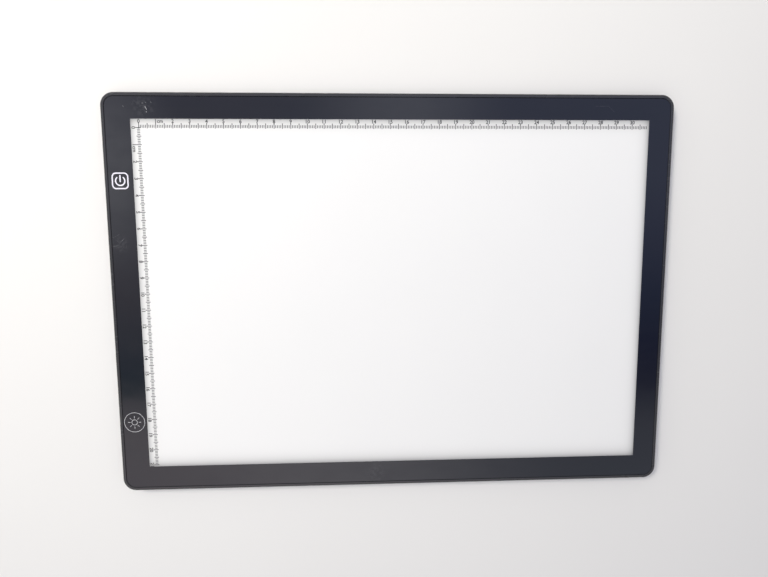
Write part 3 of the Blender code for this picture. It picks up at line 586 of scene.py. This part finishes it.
def make_finishes():
    """Each material slot of the record, with its finish."""
    return {
        "black_case": frame_finish(),
        "opal_acrylic": opal_finish(),
        "black_ink": ink_finish(),
        "white_ink": printed_finish("white_ink_finish", (0.72, 0.70, 0.76), (0.80, 0.78, 0.84)),
        "foam_tape": foam_finish("foam_tape_finish", (0.70, 0.70, 0.67), (0.84, 0.84, 0.81), 2600.0),
        "diffuser_film": film_finish("diffuser_film_finish", grey(0.88), grey(0.93), 0.55, 5000.0),
        "clear_acrylic": light_guide_finish(),
        "white_film": film_finish("white_film_finish", grey(0.90), grey(0.94), 0.34, 2400.0),
        "cushion_foam": foam_finish("cushion_foam_finish", (0.76, 0.76, 0.73), (0.90, 0.90, 0.87), 1500.0),
        "led_board": led_board_finish(),
        "green_board": green_board_finish(),
        "steel": metal_finish("steel_finish", grey(0.52), grey(0.66), 0.20, 0.36),
        "black_screw": metal_finish("black_screw_finish", grey(0.035), grey(0.07), 0.28, 0.44),
        "spring_steel": metal_finish("spring_steel_finish", (0.62, 0.61, 0.59), (0.76, 0.75, 0.73),
                                     0.18, 0.32),
        "chip_plastic": speckled_finish("chip_plastic_finish", grey(0.018), grey(0.034), 0.50, 2600.0),
        "ceramic_tan": speckled_finish("ceramic_tan_finish", (0.46, 0.33, 0.20), (0.58, 0.45, 0.30),
                                       0.44, 3000.0),
        "ceramic_black": speckled_finish("ceramic_black_finish", grey(0.03), grey(0.06), 0.40, 3000.0),
        "connector_plastic": speckled_finish("connector_plastic_finish", (0.80, 0.77, 0.69),
                                             (0.88, 0.86, 0.79), 0.40, 1200.0),
        "red_wire": speckled_finish("red_wire_finish", (0.50, 0.02, 0.02), (0.62, 0.04, 0.03), 0.38, 1500.0),
        "black_wire": speckled_finish("black_wire_finish", grey(0.02), grey(0.035), 0.38, 1500.0),
        "rubber": rubber_finish(),
    }


# Shapes, each returned as a bmesh

# The corners of a level square, in order round it
QUARTERS = ((-1, -1), (1, -1), (1, 1), (-1, 1))


def corner_arc(centre, radius, start):
    """Points round a quarter circle in the level plane, from a start angle."""
    points = []
    for step in range(CORNER_STEPS + 1):
        angle = start + math.pi / 2 * step / CORNER_STEPS
        points.append((centre[0] + radius * math.cos(angle), centre[1] + radius * math.sin(angle)))
    return points


def ring(low, high, corner, height):
    """A level rectangle with rounded corners, as a loop of points."""
    centres = ((high[0] - corner, high[1] - corner), (low[0] + corner, high[1] - corner),
               (low[0] + corner, low[1] + corner), (high[0] - corner, low[1] + corner))
    loop = []
    for quarter, centre in enumerate(centres):
        loop += corner_arc(centre, corner, quarter * math.pi / 2)
    return [Vector((x, y, height)) for x, y in loop]


def circle(spot, radius, height, steps=CIRCLE_STEPS):
    """A level circle, as a loop of points."""
    angles = [2 * math.pi * step / steps for step in range(steps)]
    return [Vector((spot[0] + radius * math.cos(a), spot[1] + radius * math.sin(a), height)) for a in angles]


def fillet(centre, radius, start, end):
    """Points (inset, height) along an arc of a profile, from one angle to another in degrees."""
    points = []
    for step in range(ROUND_STEPS + 1):
        angle = math.radians(start + (end - start) * step / ROUND_STEPS)
        points.append((centre[0] + radius * math.cos(angle), centre[1] + radius * math.sin(angle)))
    return points


def loft(loops, closed=False):
    """A skin through loops of equally many points. A closed skin joins its last loop to its first."""
    shape = bmesh.new()
    rows = [[shape.verts.new(point) for point in loop] for loop in loops]
    pairs = list(zip(rows, rows[1:]))
    if closed:
        pairs.append((rows[-1], rows[0]))
    else:
        shape.faces.new(rows[0])
        shape.faces.new(rows[-1])
    for near, far in pairs:
        for index in range(len(near)):
            after = (index + 1) % len(near)
            shape.faces.new((near[index], near[after], far[after], far[index]))
    bmesh.ops.recalc_face_normals(shape, faces=shape.faces)
    return shape


def block(low, high):
    """A box between two corners."""
    corners = ((low[0], low[1]), (high[0], low[1]), (high[0], high[1]), (low[0], high[1]))
    return loft([[Vector((x, y, z)) for x, y in corners] for z in (low[2], high[2])])


def lathe(spot, profile, steps=CIRCLE_STEPS):
    """A turned shape on an upright axis, from its profile of (radius, height)."""
    return loft([circle(spot, radius, height, steps) for radius, height in profile])


def gathered(shapes):
    """Several shapes in one bmesh."""
    result = bmesh.new()
    for shape in shapes:
        mesh = bpy.data.meshes.new("gathered")
        shape.to_mesh(mesh)
        shape.free()
        result.from_mesh(mesh)
        bpy.data.meshes.remove(mesh)
    return result


def inset_ring(low, high, corner, least_corner, inset, height):
    """The ring that lies a distance inside a case's outline."""
    radius = max(corner - inset, least_corner)
    return ring((low.x + inset, low.y + inset), (high.x - inset, high.y - inset), radius, height)


# Pieces

class Studio:
    """Makes the pieces, dresses them and hands them to the frame."""

    def __init__(self):
        self.finishes = make_finishes()
        self.grained_case = cover_finish()
        self.badge_ink = printed_finish("badge_ink_finish", grey(0.42), grey(0.56))
        self.ruler_ink = printed_finish("ruler_ink_finish", grey(0.012), grey(0.05), scale=1100.0,
                                        roughness=0.4, depth=0.003 * MM)

    def dress_cad_nodes(self):
        """Give every CAD node the finish of its slot."""
        for node in frame["nodes"].values():
            for slot in node.material_slots:
                slot.material = self.finishes[slot.material.name]

    def piece(self, name, shape, slot, replaced=(), finish=None):
        """A piece that rides on the object's one body, made from a shape."""
        mesh = bpy.data.meshes.new(name)
        shape.to_mesh(mesh)
        shape.free()
        mesh.materials.append(finish or self.finishes[slot])
        return self.hand_over(bpy.data.objects.new(name, mesh), replaced)

    def hand_over(self, obj, replaced):
        """Let a piece ride on the body and stand for the CAD nodes it replaces."""
        bpy.context.scene.collection.objects.link(obj)
        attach(obj, "root")
        if replaced:
            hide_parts(*replaced)
        return obj

    def smooth(self, obj):
        """Smooth the rounds and keep the flats flat."""
        obj.data.shade_smooth()
        obj.data.set_sharp_from_angle(angle=SHARP_ANGLE)
        step = obj.modifiers.new("flat_faces", "WEIGHTED_NORMAL")
        step.keep_sharp = True
        return obj

    def combine(self, obj, operation, shape):
        """Cut a shape from a piece, or join it to the piece."""
        mesh = bpy.data.meshes.new("tool")
        shape.to_mesh(mesh)
        shape.free()
        tool = bpy.data.objects.new("tool", mesh)
        bpy.context.scene.collection.objects.link(tool)
        step = obj.modifiers.new(operation, "BOOLEAN")
        step.operation = operation
        step.solver = "EXACT"
        step.object = tool
        graph = bpy.context.evaluated_depsgraph_get()
        obj.data = bpy.data.meshes.new_from_object(obj.evaluated_get(graph))
        obj.modifiers.clear()
        bpy.data.objects.remove(tool)
        bpy.data.meshes.remove(mesh)

    def cut(self, obj, shape):
        self.combine(obj, "DIFFERENCE", shape)

    def join(self, obj, shape):
        self.combine(obj, "UNION", shape)


def middle_of(node):
    """A CAD node's middle in plan."""
    low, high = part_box(node)
    return (low + high).xy / 2


SCREWS = [f"case_screw_{number}" for number in range(1, 9)]
FEET = [f"foot_{number}" for number in range(1, 5)]
BOARD_SCREWS = ["board_screw_1", "board_screw_2"]


def port_cutter():
    """The USB opening in the left wall, flared at its mouth."""
    low = Vector((shell_low.y - PORT_MARGIN, shell_low.z - PORT_BELOW))
    high = Vector((shell_high.y + PORT_MARGIN, shell_high.z + PORT_ABOVE))
    wall = case_low.x
    plain = Vector((0.0, 0.0))
    flare = Vector((PORT_FLARE, PORT_FLARE))
    stops = ((wall - CUT_OVER, flare), (wall, flare), (wall + PORT_FLARE, plain),
             (wall + RIM_WIDTH + PORT_MARGIN, plain))
    loops = []
    for x, grown in stops:
        outline = ring(low - grown, high + grown, PORT_CORNER + grown.x, 0.0)
        loops.append([Vector((x, point.x, point.y)) for point in outline])
    return loft(loops)


def turned(nodes, profile):
    """The same turned shape on the axis of each of some CAD nodes."""
    return gathered(lathe(middle_of(node), profile) for node in nodes)


def rod(radius, low, high):
    """The profile of an upright cylinder between two heights."""
    return [(radius, low), (radius, high)]


def frame_shell(studio):
    """The case's upper half: the rounded rim, the ledge under the panel, the lip and the screw posts."""
    top = case_high.z
    profile = [(0.0, PARTING_HEIGHT + BROKEN_EDGE)]
    profile += fillet((RIM_ROUND, top - RIM_ROUND), RIM_ROUND, 180, 90)
    profile += fillet((RIM_WIDTH - INNER_ROUND, top - INNER_ROUND), INNER_ROUND, 90, 0)
    profile += [(RIM_WIDTH, LEDGE_TOP), (LEDGE_INSET, LEDGE_TOP), (LEDGE_INSET, LEDGE_BOTTOM),
                (LIP_INNER_INSET, LEDGE_BOTTOM), (LIP_INNER_INSET, case_low.z),
                (LIP_OUTER_INSET, case_low.z), (LIP_OUTER_INSET, PARTING_HEIGHT),
                (BROKEN_EDGE, PARTING_HEIGHT)]
    loops = [inset_ring(case_low, case_high, CASE_CORNER, LEDGE_CORNER, *point) for point in profile]
    shell = studio.piece("frame_shell", loft(loops, closed=True), "black_case", ["bezel_frame"])
    inside_ledge = (LEDGE_TOP + LEDGE_BOTTOM) / 2
    studio.join(shell, turned(SCREWS, rod(POST_RADIUS, BOSS_TOP + SLIP, inside_ledge)))
    studio.cut(shell, turned(SCREWS, rod(PILOT_RADIUS, BOSS_TOP - CUT_OVER, inside_ledge)))
    bay_low = (case_low.x + RIM_WIDTH, board_low.y - BAY_MARGIN, case_low.z - CUT_OVER)
    bay_high = (case_low.x + LEDGE_INSET + CUT_OVER, board_high.y + BAY_MARGIN, top - RIM_ROUND)
    studio.cut(shell, block(bay_low, bay_high))
    studio.cut(shell, port_cutter())
    return studio.smooth(shell)


def cover_ribs(bottom):
    """The ribs behind the edge cushions and the LED strip."""
    gap = 2 * SLIP
    left_low, left_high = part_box("edge_cushion_left")
    right_low, right_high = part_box("edge_cushion_right")
    lower_low, lower_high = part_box("edge_cushion_bottom")
    strip_low, strip_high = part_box("led_strip")
    tape_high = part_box("led_strip_tape")[1]
    return [
        block((left_low.x - gap - RIB_THICKNESS, left_low.y, bottom),
              (left_low.x - gap, left_high.y, RIB_HEIGHT)),
        block((right_high.x + gap, right_low.y, bottom),
              (right_high.x + gap + RIB_THICKNESS, right_high.y, RIB_HEIGHT)),
        block((lower_low.x, lower_low.y - gap - RIB_THICKNESS, bottom),
              (lower_high.x, lower_low.y - gap, RIB_HEIGHT)),
        block((strip_low.x, tape_high.y + SLIP, bottom),
              (strip_high.x, tape_high.y + SLIP + RIB_THICKNESS, cover_high.z)),
    ]


def cover_shell(studio):
    """The case's lower half: a shallow tray with screw seats, foot seats, bosses and ribs."""
    bottom = cover_low.z
    profile = [(RIM_WIDTH, FLOOR_TOP), (RIM_WIDTH, WALL_TOP), (BROKEN_EDGE, WALL_TOP),
               (0.0, WALL_TOP - BROKEN_EDGE)]
    profile += fillet((FLOOR_ROUND, bottom + FLOOR_ROUND), FLOOR_ROUND, 180, 270)
    loops = [inset_ring(cover_low, cover_high, CASE_CORNER, LEDGE_CORNER, *point) for point in profile]
    shell = studio.piece("cover_shell", loft(loops), "black_case", ["rear_cover"], studio.grained_case)
    in_floor = (bottom + FLOOR_TOP) / 2
    studio.join(shell, turned(SCREWS, rod(BOSS_RADIUS, in_floor, BOSS_TOP)))
    studio.join(shell, turned(BOARD_SCREWS, rod(BOARD_BOSS_RADIUS, in_floor, BOARD_BOSS_TOP)))
    studio.join(shell, gathered(cover_ribs(in_floor)))
    head_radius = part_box(SCREWS[0])[1].x - middle_of(SCREWS[0]).x + HEAD_CLEARANCE
    head_top = bottom + SCREW_HEAD_HEIGHT + HEAD_CLEARANCE
    foot_low, foot_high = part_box(FEET[0])
    foot_radius = (foot_high.x - foot_low.x) / 2 + HEAD_CLEARANCE
    studio.cut(shell, turned(SCREWS, seat_profile(head_radius, bottom, head_top)))
    studio.cut(shell, turned(FEET, seat_profile(foot_radius, bottom, foot_high.z + SLIP)))
    studio.cut(shell, turned(SCREWS, rod(PILOT_RADIUS, in_floor, BOSS_TOP + CUT_OVER)))
    studio.cut(shell, turned(BOARD_SCREWS, rod(BOARD_PILOT_RADIUS, in_floor, BOARD_BOSS_TOP + CUT_OVER)))
    studio.cut(shell, port_cutter())
    return studio.smooth(shell)


def seat_profile(radius, face, depth):
    """The profile of a round seat cut up into a face, with its mouth eased."""
    return [(radius + MOUTH_FLARE, face - CUT_OVER), (radius + MOUTH_FLARE, face),
            (radius, face + MOUTH_FLARE), (radius, depth)]


def panel_sheet(studio):
    """The opal sheet, whose window stands proud of its border by the depth of the ink."""
    border = ink_low.z - MARK_DEPTH / 2
    profile = ((BROKEN_EDGE, panel_low.z), (0.0, panel_low.z + BROKEN_EDGE), (0.0, border))
    loops = [inset_ring(panel_low, panel_high, PANEL_CORNER, 0.0, *point) for point in profile]
    sheet = studio.piece("panel_sheet", loft(loops), "opal_acrylic", ["front_panel"])
    middle = (panel_low.z + panel_high.z) / 2
    studio.join(sheet, block((*WINDOW_LOW, middle), (*WINDOW_HIGH, WINDOW_HEIGHT)))
    return studio.smooth(sheet)


def border_ink(studio):
    """The black ink round the window."""
    slip = Vector((MARK_DEPTH, MARK_DEPTH)) / 2
    outer = [ring(ink_low, ink_high, PANEL_CORNER, height) for height in (ink_low.z, ink_high.z)]
    inner = [ring(WINDOW_LOW - slip, WINDOW_HIGH + slip, WINDOW_CORNER, height)
             for height in (ink_high.z, ink_low.z)]
    return studio.smooth(studio.piece("border_ink", loft(outer + inner, closed=True), "black_ink",
                                      ["printed_border"]))


def rubber_feet(studio):
    """Round feet with an eased edge and a ring pressed into their sole."""
    for number, node in enumerate(FEET, start=1):
        low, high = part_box(node)
        radius = (high.x - low.x) / 2
        profile = [(radius - BROKEN_EDGE, high.z), (radius, high.z - BROKEN_EDGE)]
        profile += fillet((radius - FOOT_ROUND, low.z + FOOT_ROUND), FOOT_ROUND, 0, -90)
        profile += [(radius * share, low.z + depth) for share, depth in FOOT_RING]
        foot = studio.piece(f"rubber_foot_{number}", lathe(middle_of(node), profile), "rubber", [node])
        studio.smooth(foot)


def screw_shape(node):
    """A pan head with its cross recess facing down, and a threaded shank."""
    low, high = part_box(node)
    radius = (high.x - low.x) / 2
    head_top = low.z + SCREW_HEAD_HEIGHT
    profile = fillet((radius - SCREW_ROUND, low.z + SCREW_ROUND), SCREW_ROUND, -90, 0)
    profile += [(radius, head_top), (SCREW_SHANK, head_top)]
    turns = int((high.z - head_top) / SCREW_PITCH) - 1
    for turn in range(turns):
        start = head_top + (turn + 0.5) * SCREW_PITCH
        profile += [(SCREW_CORE, start), (SCREW_SHANK, start + SCREW_PITCH / 2)]
    profile += [(SCREW_CORE, high.z - SCREW_PITCH / 2), (SCREW_CORE / 2, high.z)]
    return lathe(middle_of(node), profile, steps=SCREW_STEPS)


def cross_cutter(node):
    """The cross recess of a screw: two tapered slots."""
    low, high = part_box(node)
    spot = middle_of(node)
    reach = (high.x - low.x) / 2 * RECESS_REACH
    width = reach * RECESS_WIDTH
    bottom = low.z + SCREW_HEAD_HEIGHT * RECESS_DEPTH
    slots = []
    for half_x, half_y in ((reach, width), (width, reach)):
        loops = []
        for share, height in ((1.0, low.z - CUT_OVER), (1.0, low.z), (RECESS_TAPER, bottom)):
            loops.append([Vector((spot.x + x * half_x * share, spot.y + y * half_y * share, height))
                          for x, y in QUARTERS])
        slots.append(loft(loops))
    return slots


def machine_screws(studio):
    """The case screws, seen from below in their seats."""
    for number, node in enumerate(SCREWS, start=1):
        screw = studio.piece(f"machine_screw_{number}", screw_shape(node), "black_screw", [node])
        for slot in cross_cutter(node):
            studio.cut(screw, slot)
        studio.smooth(screw)


# Printed marks

def mark_heights(surface):
    """The lowest and highest of a mark, half sunk in the surface it is printed on."""
    return surface - MARK_DEPTH / 2, surface + MARK_DEPTH / 2


def bar(start, end, width, surface):
    """A straight printed line between two points."""
    low, high = mark_heights(surface)
    along = (end - start).normalized()
    side = Vector((-along.y, along.x)) * width / 2
    outline = (start - side, end - side, end + side, start + side)
    return loft([[Vector((*point, height)) for point in outline] for height in (low, high)])


def arc_line(centre, radius, width, start, end, surface):
    """A printed arc between two angles, or a whole ring when they are a full turn apart."""
    low, high = mark_heights(surface)
    whole = math.isclose(end - start, 2 * math.pi)
    sections = []
    for step in range(CIRCLE_STEPS if whole else CIRCLE_STEPS + 1):
        angle = start + (end - start) * step / CIRCLE_STEPS
        out = Vector((math.cos(angle), math.sin(angle)))
        inner = centre + out * (radius - width / 2)
        outer = centre + out * (radius + width / 2)
        sections.append([Vector((*inner, low)), Vector((*outer, low)), Vector((*outer, high)),
                         Vector((*inner, high))])
    return loft(sections, closed=whole)


def frame_line(centre, size, corner, width, surface):
    """A printed rounded rectangle, drawn as a line of a width inside its size."""
    low, high = mark_heights(surface)
    line = Vector((width, width))
    outer = [ring(centre - size / 2, centre + size / 2, corner, height) for height in (low, high)]
    inner = [ring(centre - size / 2 + line, centre + size / 2 - line, corner - width, height)
             for height in (high, low)]
    return loft(outer + inner, closed=True)


def lettering(text, spot, turn, surface):
    """Printed characters, centred over a spot and turned about it."""
    curve = bpy.data.curves.new(text, "FONT")
    curve.body = text
    curve.align_x = "CENTER"
    curve.size = DIGIT_HEIGHT / DIGIT_SHARE
    curve.offset = DIGIT_WEIGHT * curve.size
    curve.resolution_u = DIGIT_STEPS
    curve.extrude = MARK_DEPTH / 2
    holder = bpy.data.objects.new(text, curve)
    bpy.context.scene.collection.objects.link(holder)
    graph = bpy.context.evaluated_depsgraph_get()
    mesh = bpy.data.meshes.new_from_object(holder.evaluated_get(graph))
    shape = bmesh.new()
    shape.from_mesh(mesh)
    bpy.data.objects.remove(holder)
    bpy.data.meshes.remove(mesh)
    bpy.data.curves.remove(curve)
    place = Matrix.Translation((*spot, surface)) @ Matrix.Rotation(turn, 4, "Z")
    bmesh.ops.transform(shape, matrix=place, verts=shape.verts)
    bmesh.ops.remove_doubles(shape, verts=shape.verts, dist=MARK_WELD)
    return shape


def tick_kind(millimetre):
    """How long a ruler's tick is."""
    if millimetre % CENTIMETRE == 0:
        return "centimetre"
    return "long" if millimetre % (CENTIMETRE // 2) == 0 else "short"


def ruler(studio, name, length, spot_of, digits_at, along, turn, ticks):
    """A millimetre ruler: ticks across its line, and a label over each centimetre."""
    across = Vector((-along.y, along.x))
    shapes = []
    for tick in range(length + 1):
        spot = spot_of(tick * MM)
        kind = tick_kind(tick)
        start, end = ticks[kind]
        shapes.append(bar(spot + across * start, spot + across * end, TICK_WIDTH[kind], WINDOW_HEIGHT))
    for centimetre in range(length // CENTIMETRE + 1):
        spot = digits_at(centimetre * CENTIMETRE * MM)
        shapes.append(lettering(str(centimetre), spot, turn, WINDOW_HEIGHT))
        if centimetre == 1:
            shapes.append(lettering("cm", spot + along * UNIT_OFFSET, turn, WINDOW_HEIGHT))
    return studio.piece(name, gathered(shapes), "black_ink", finish=studio.ruler_ink)


def rulers(studio):
    """The long ruler along the window's upper edge and the short one down its left edge."""
    right = Vector((1.0, 0.0))
    down = Vector((0.0, -1.0))
    ruler(studio, "top_ruler", TOP_RULER_LENGTH,
          lambda reach: Vector((RULER_ORIGIN.x + reach, TOP_TICKS["line"])),
          lambda reach: Vector((RULER_ORIGIN.x + reach, TOP_LABEL_LINE)), right, 0.0, TOP_TICKS)
    ruler(studio, "side_ruler", SIDE_RULER_LENGTH,
          lambda reach: Vector((SIDE_TICKS["line"], RULER_ORIGIN.y - reach)),
          lambda reach: Vector((SIDE_LABEL_LINE, RULER_ORIGIN.y - reach)), down, -math.pi / 2, SIDE_TICKS)


def power_key(studio):
    """The touch key's mark: a power sign in a rounded square."""
    quarter = math.pi / 2
    up = Vector((0.0, 1.0))
    shapes = [
        frame_line(KEY_SPOT, KEY_SIZE, KEY_CORNER, KEY_LINE, INK_HEIGHT),
        arc_line(KEY_SPOT, POWER_RADIUS, KEY_LINE, quarter + POWER_GAP, quarter + 2 * math.pi - POWER_GAP,
                 INK_HEIGHT),
        bar(KEY_SPOT + up * POWER_BAR_BOTTOM, KEY_SPOT + up * POWER_BAR_TOP, KEY_LINE, INK_HEIGHT),
    ]
    return studio.piece("power_key_mark", gathered(shapes), "white_ink")


def sun_badge(studio):
    """A plain ring with a brightness sign in it."""
    turn = 2 * math.pi
    shapes = [
        arc_line(BADGE_SPOT, BADGE_RADIUS, BADGE_LINE, 0.0, turn, INK_HEIGHT),
        arc_line(BADGE_SPOT, SUN_RADIUS, SUN_LINE, 0.0, turn, INK_HEIGHT),
    ]
    for ray in range(SUN_RAYS):
        angle = turn * ray / SUN_RAYS
        out = Vector((math.cos(angle), math.sin(angle)))
        start, end = (BADGE_SPOT + out * reach for reach in (SUN_RAY_START, SUN_RAY_END))
        shapes.append(bar(start, end, SUN_LINE, INK_HEIGHT))
    return studio.piece("sun_badge", gathered(shapes), "white_ink", finish=studio.badge_ink)


# Studio

def studio_floor():
    """A large pale floor, matt enough that it does not mirror the lamp at a low angle."""
    finish = Finish("floor_finish")
    drift = finish.noise(finish.place, FLOOR_DRIFT)
    tone = finish.mix(drift, opaque(FLOOR_DARK), opaque(FLOOR_PALE))
    finish.set(base_color=tone, roughness=0.9, specular_ior_level=0.1)
    corners = [(x * FLOOR_REACH, y * FLOOR_REACH, -FLOOR_SLIP) for x, y in QUARTERS]
    mesh = bpy.data.meshes.new("floor")
    mesh.from_pydata(corners, [], [tuple(range(len(corners)))])
    mesh.materials.append(finish.material)
    floor = bpy.data.objects.new("floor", mesh)
    bpy.context.scene.collection.objects.link(floor)


# The soft light from all round, from the left to the right, and where along X the one becomes the other
AROUND_LEFT = (0.53, 0.519, 0.483)
AROUND_RIGHT = (0.295, 0.287, 0.265)
AROUND_BLEND = (-0.8, 0.8)
# How high a direction points where the sky round about becomes the sky overhead
OVERHEAD_BLEND = (0.66, 0.80)
# A slope is how far a direction leans along an axis for its height, which is taken to be no less than this
LEAST_HEIGHT = 0.2
# What the glossy border mirrors from overhead, by slope along Y, for its left and right sides
SIDE_BLEND = (-0.40, 0.55)
SLOPE_LOW, SLOPE_HIGH = -0.55, 0.30
LEFT_STOPS = ((-0.55, (0.90, 0.81, 0.87)), (-0.40, (0.97, 0.89, 0.93)), (-0.33, (0.70, 0.66, 0.70)),
              (-0.31, (0.24, 0.29, 0.32)), (-0.27, (0.18, 0.23, 0.29)), (-0.12, (0.42, 0.39, 0.44)),
              (0.02, (0.44, 0.44, 0.52)), (0.30, (0.40, 0.41, 0.53)))
RIGHT_STOPS = ((-0.55, (0.46, 0.50, 0.59)), (-0.38, (0.37, 0.39, 0.47)), (-0.32, (0.14, 0.15, 0.24)),
               (-0.25, (0.06, 0.07, 0.19)), (-0.14, (0.12, 0.16, 0.32)), (0.00, (0.27, 0.31, 0.52)),
               (0.10, (0.36, 0.41, 0.62)), (0.30, (0.36, 0.41, 0.62)))
# Paler patches in it: where, how far they reach along X and Y, and how strong they are
GLOWS = ((-0.46, 0.12, 0.13, 0.26, 0.70), (0.08, 0.22, 0.22, 0.20, 0.42), (-0.02, -0.48, 0.45, 0.14, 0.40))


def mirrored_side(graph, slope, stops):
    """One side's ramp of brightness."""
    reach = SLOPE_HIGH - SLOPE_LOW
    return graph.ramp(graph.span(slope, SLOPE_LOW, SLOPE_HIGH, kind="LINEAR"),
                      [((position - SLOPE_LOW) / reach, colour) for position, colour in stops])


def studio_sky():
    """Soft light from all round, brighter from the left, with a dim patch overhead that the gloss mirrors."""
    world = bpy.data.worlds.new("studio_sky")
    world.use_nodes = True
    graph = Graph(world.node_tree)
    x, y, z = graph.split(graph.add("TexCoord").outputs["Generated"])
    height = graph.math("MAXIMUM", z, LEAST_HEIGHT)
    across = graph.math("DIVIDE", x, height)
    along = graph.math("DIVIDE", y, height)
    overhead = graph.mix(graph.span(across, *SIDE_BLEND), mirrored_side(graph, along, LEFT_STOPS),
                         mirrored_side(graph, along, RIGHT_STOPS))
    slopes = graph.add("CombineXYZ", {"X": across, "Y": along}).outputs[0]
    for centre_x, centre_y, reach_x, reach_y, strength in GLOWS:
        scaled = graph.stretched(slopes, 1.0 / reach_x, 1.0 / reach_y, 0.0)
        glow = graph.near(scaled, (centre_x / reach_x, centre_y / reach_y, 0.0), 1.0)
        light = graph.ramp(glow, ((0.0, grey(0.0)), (1.0, grey(strength))))
        overhead = graph.mix(1.0, overhead, light, "ADD")
    around = graph.mix(graph.span(x, *AROUND_BLEND), opaque(AROUND_LEFT), opaque(AROUND_RIGHT))
    sky = graph.mix(graph.span(z, *OVERHEAD_BLEND), around, overhead)
    backdrop = graph.add("Background", {"Color": sky, "Strength": SKY_STRENGTH})
    graph.add("OutputWorld", {"Surface": backdrop.outputs[0]})
    bpy.context.scene.world = world


def window_light():
    """The large soft light on the left, aimed beside the object so that its beam fades across it.

    Gloss does not mirror it: what the border mirrors is in the sky.
    """
    lamp = bpy.data.lights.new("window_light", "AREA")
    lamp.shape = "RECTANGLE"
    lamp.size, lamp.size_y = WINDOW_LIGHT_SIZE
    lamp.spread = WINDOW_LIGHT_SPREAD
    lamp.energy = WINDOW_LIGHT_POWER
    lamp.color = WINDOW_LIGHT_COLOUR
    holder = bpy.data.objects.new("window_light", lamp)
    holder.location = WINDOW_LIGHT_PLACE
    holder.rotation_euler = (WINDOW_LIGHT_TARGET - WINDOW_LIGHT_PLACE).to_track_quat("-Z", "Y").to_euler()
    holder.visible_camera = False
    holder.visible_glossy = False
    bpy.context.scene.collection.objects.link(holder)


def camera():
    """The camera, over the object and a little towards its long ruler."""
    lens = bpy.data.cameras.new("camera")
    lens.lens = CAMERA_LENS
    lens.sensor_width = CAMERA_SENSOR
    lens.clip_start = MM
    lens.clip_end = CAMERA_REACH
    back = (CAMERA_PLACE - CAMERA_TARGET).normalized()
    right = CAMERA_UP.cross(back).normalized()
    up = back.cross(right)
    holder = bpy.data.objects.new("camera", lens)
    turn = Matrix((right, up, back)).transposed().to_4x4()
    holder.matrix_world = Matrix.Translation(CAMERA_PLACE) @ turn
    bpy.context.scene.collection.objects.link(holder)
    bpy.context.scene.camera = holder


camera()
studio_sky()
window_light()
studio_floor()
studio = Studio()
studio.dress_cad_nodes()
frame_shell(studio)
cover_shell(studio)
panel_sheet(studio)
border_ink(studio)
rubber_feet(studio)
machine_screws(studio)
rulers(studio)
power_key(studio)
sun_badge(studio)
bpy.context.scene.view_settings.view_transform = "Standard"
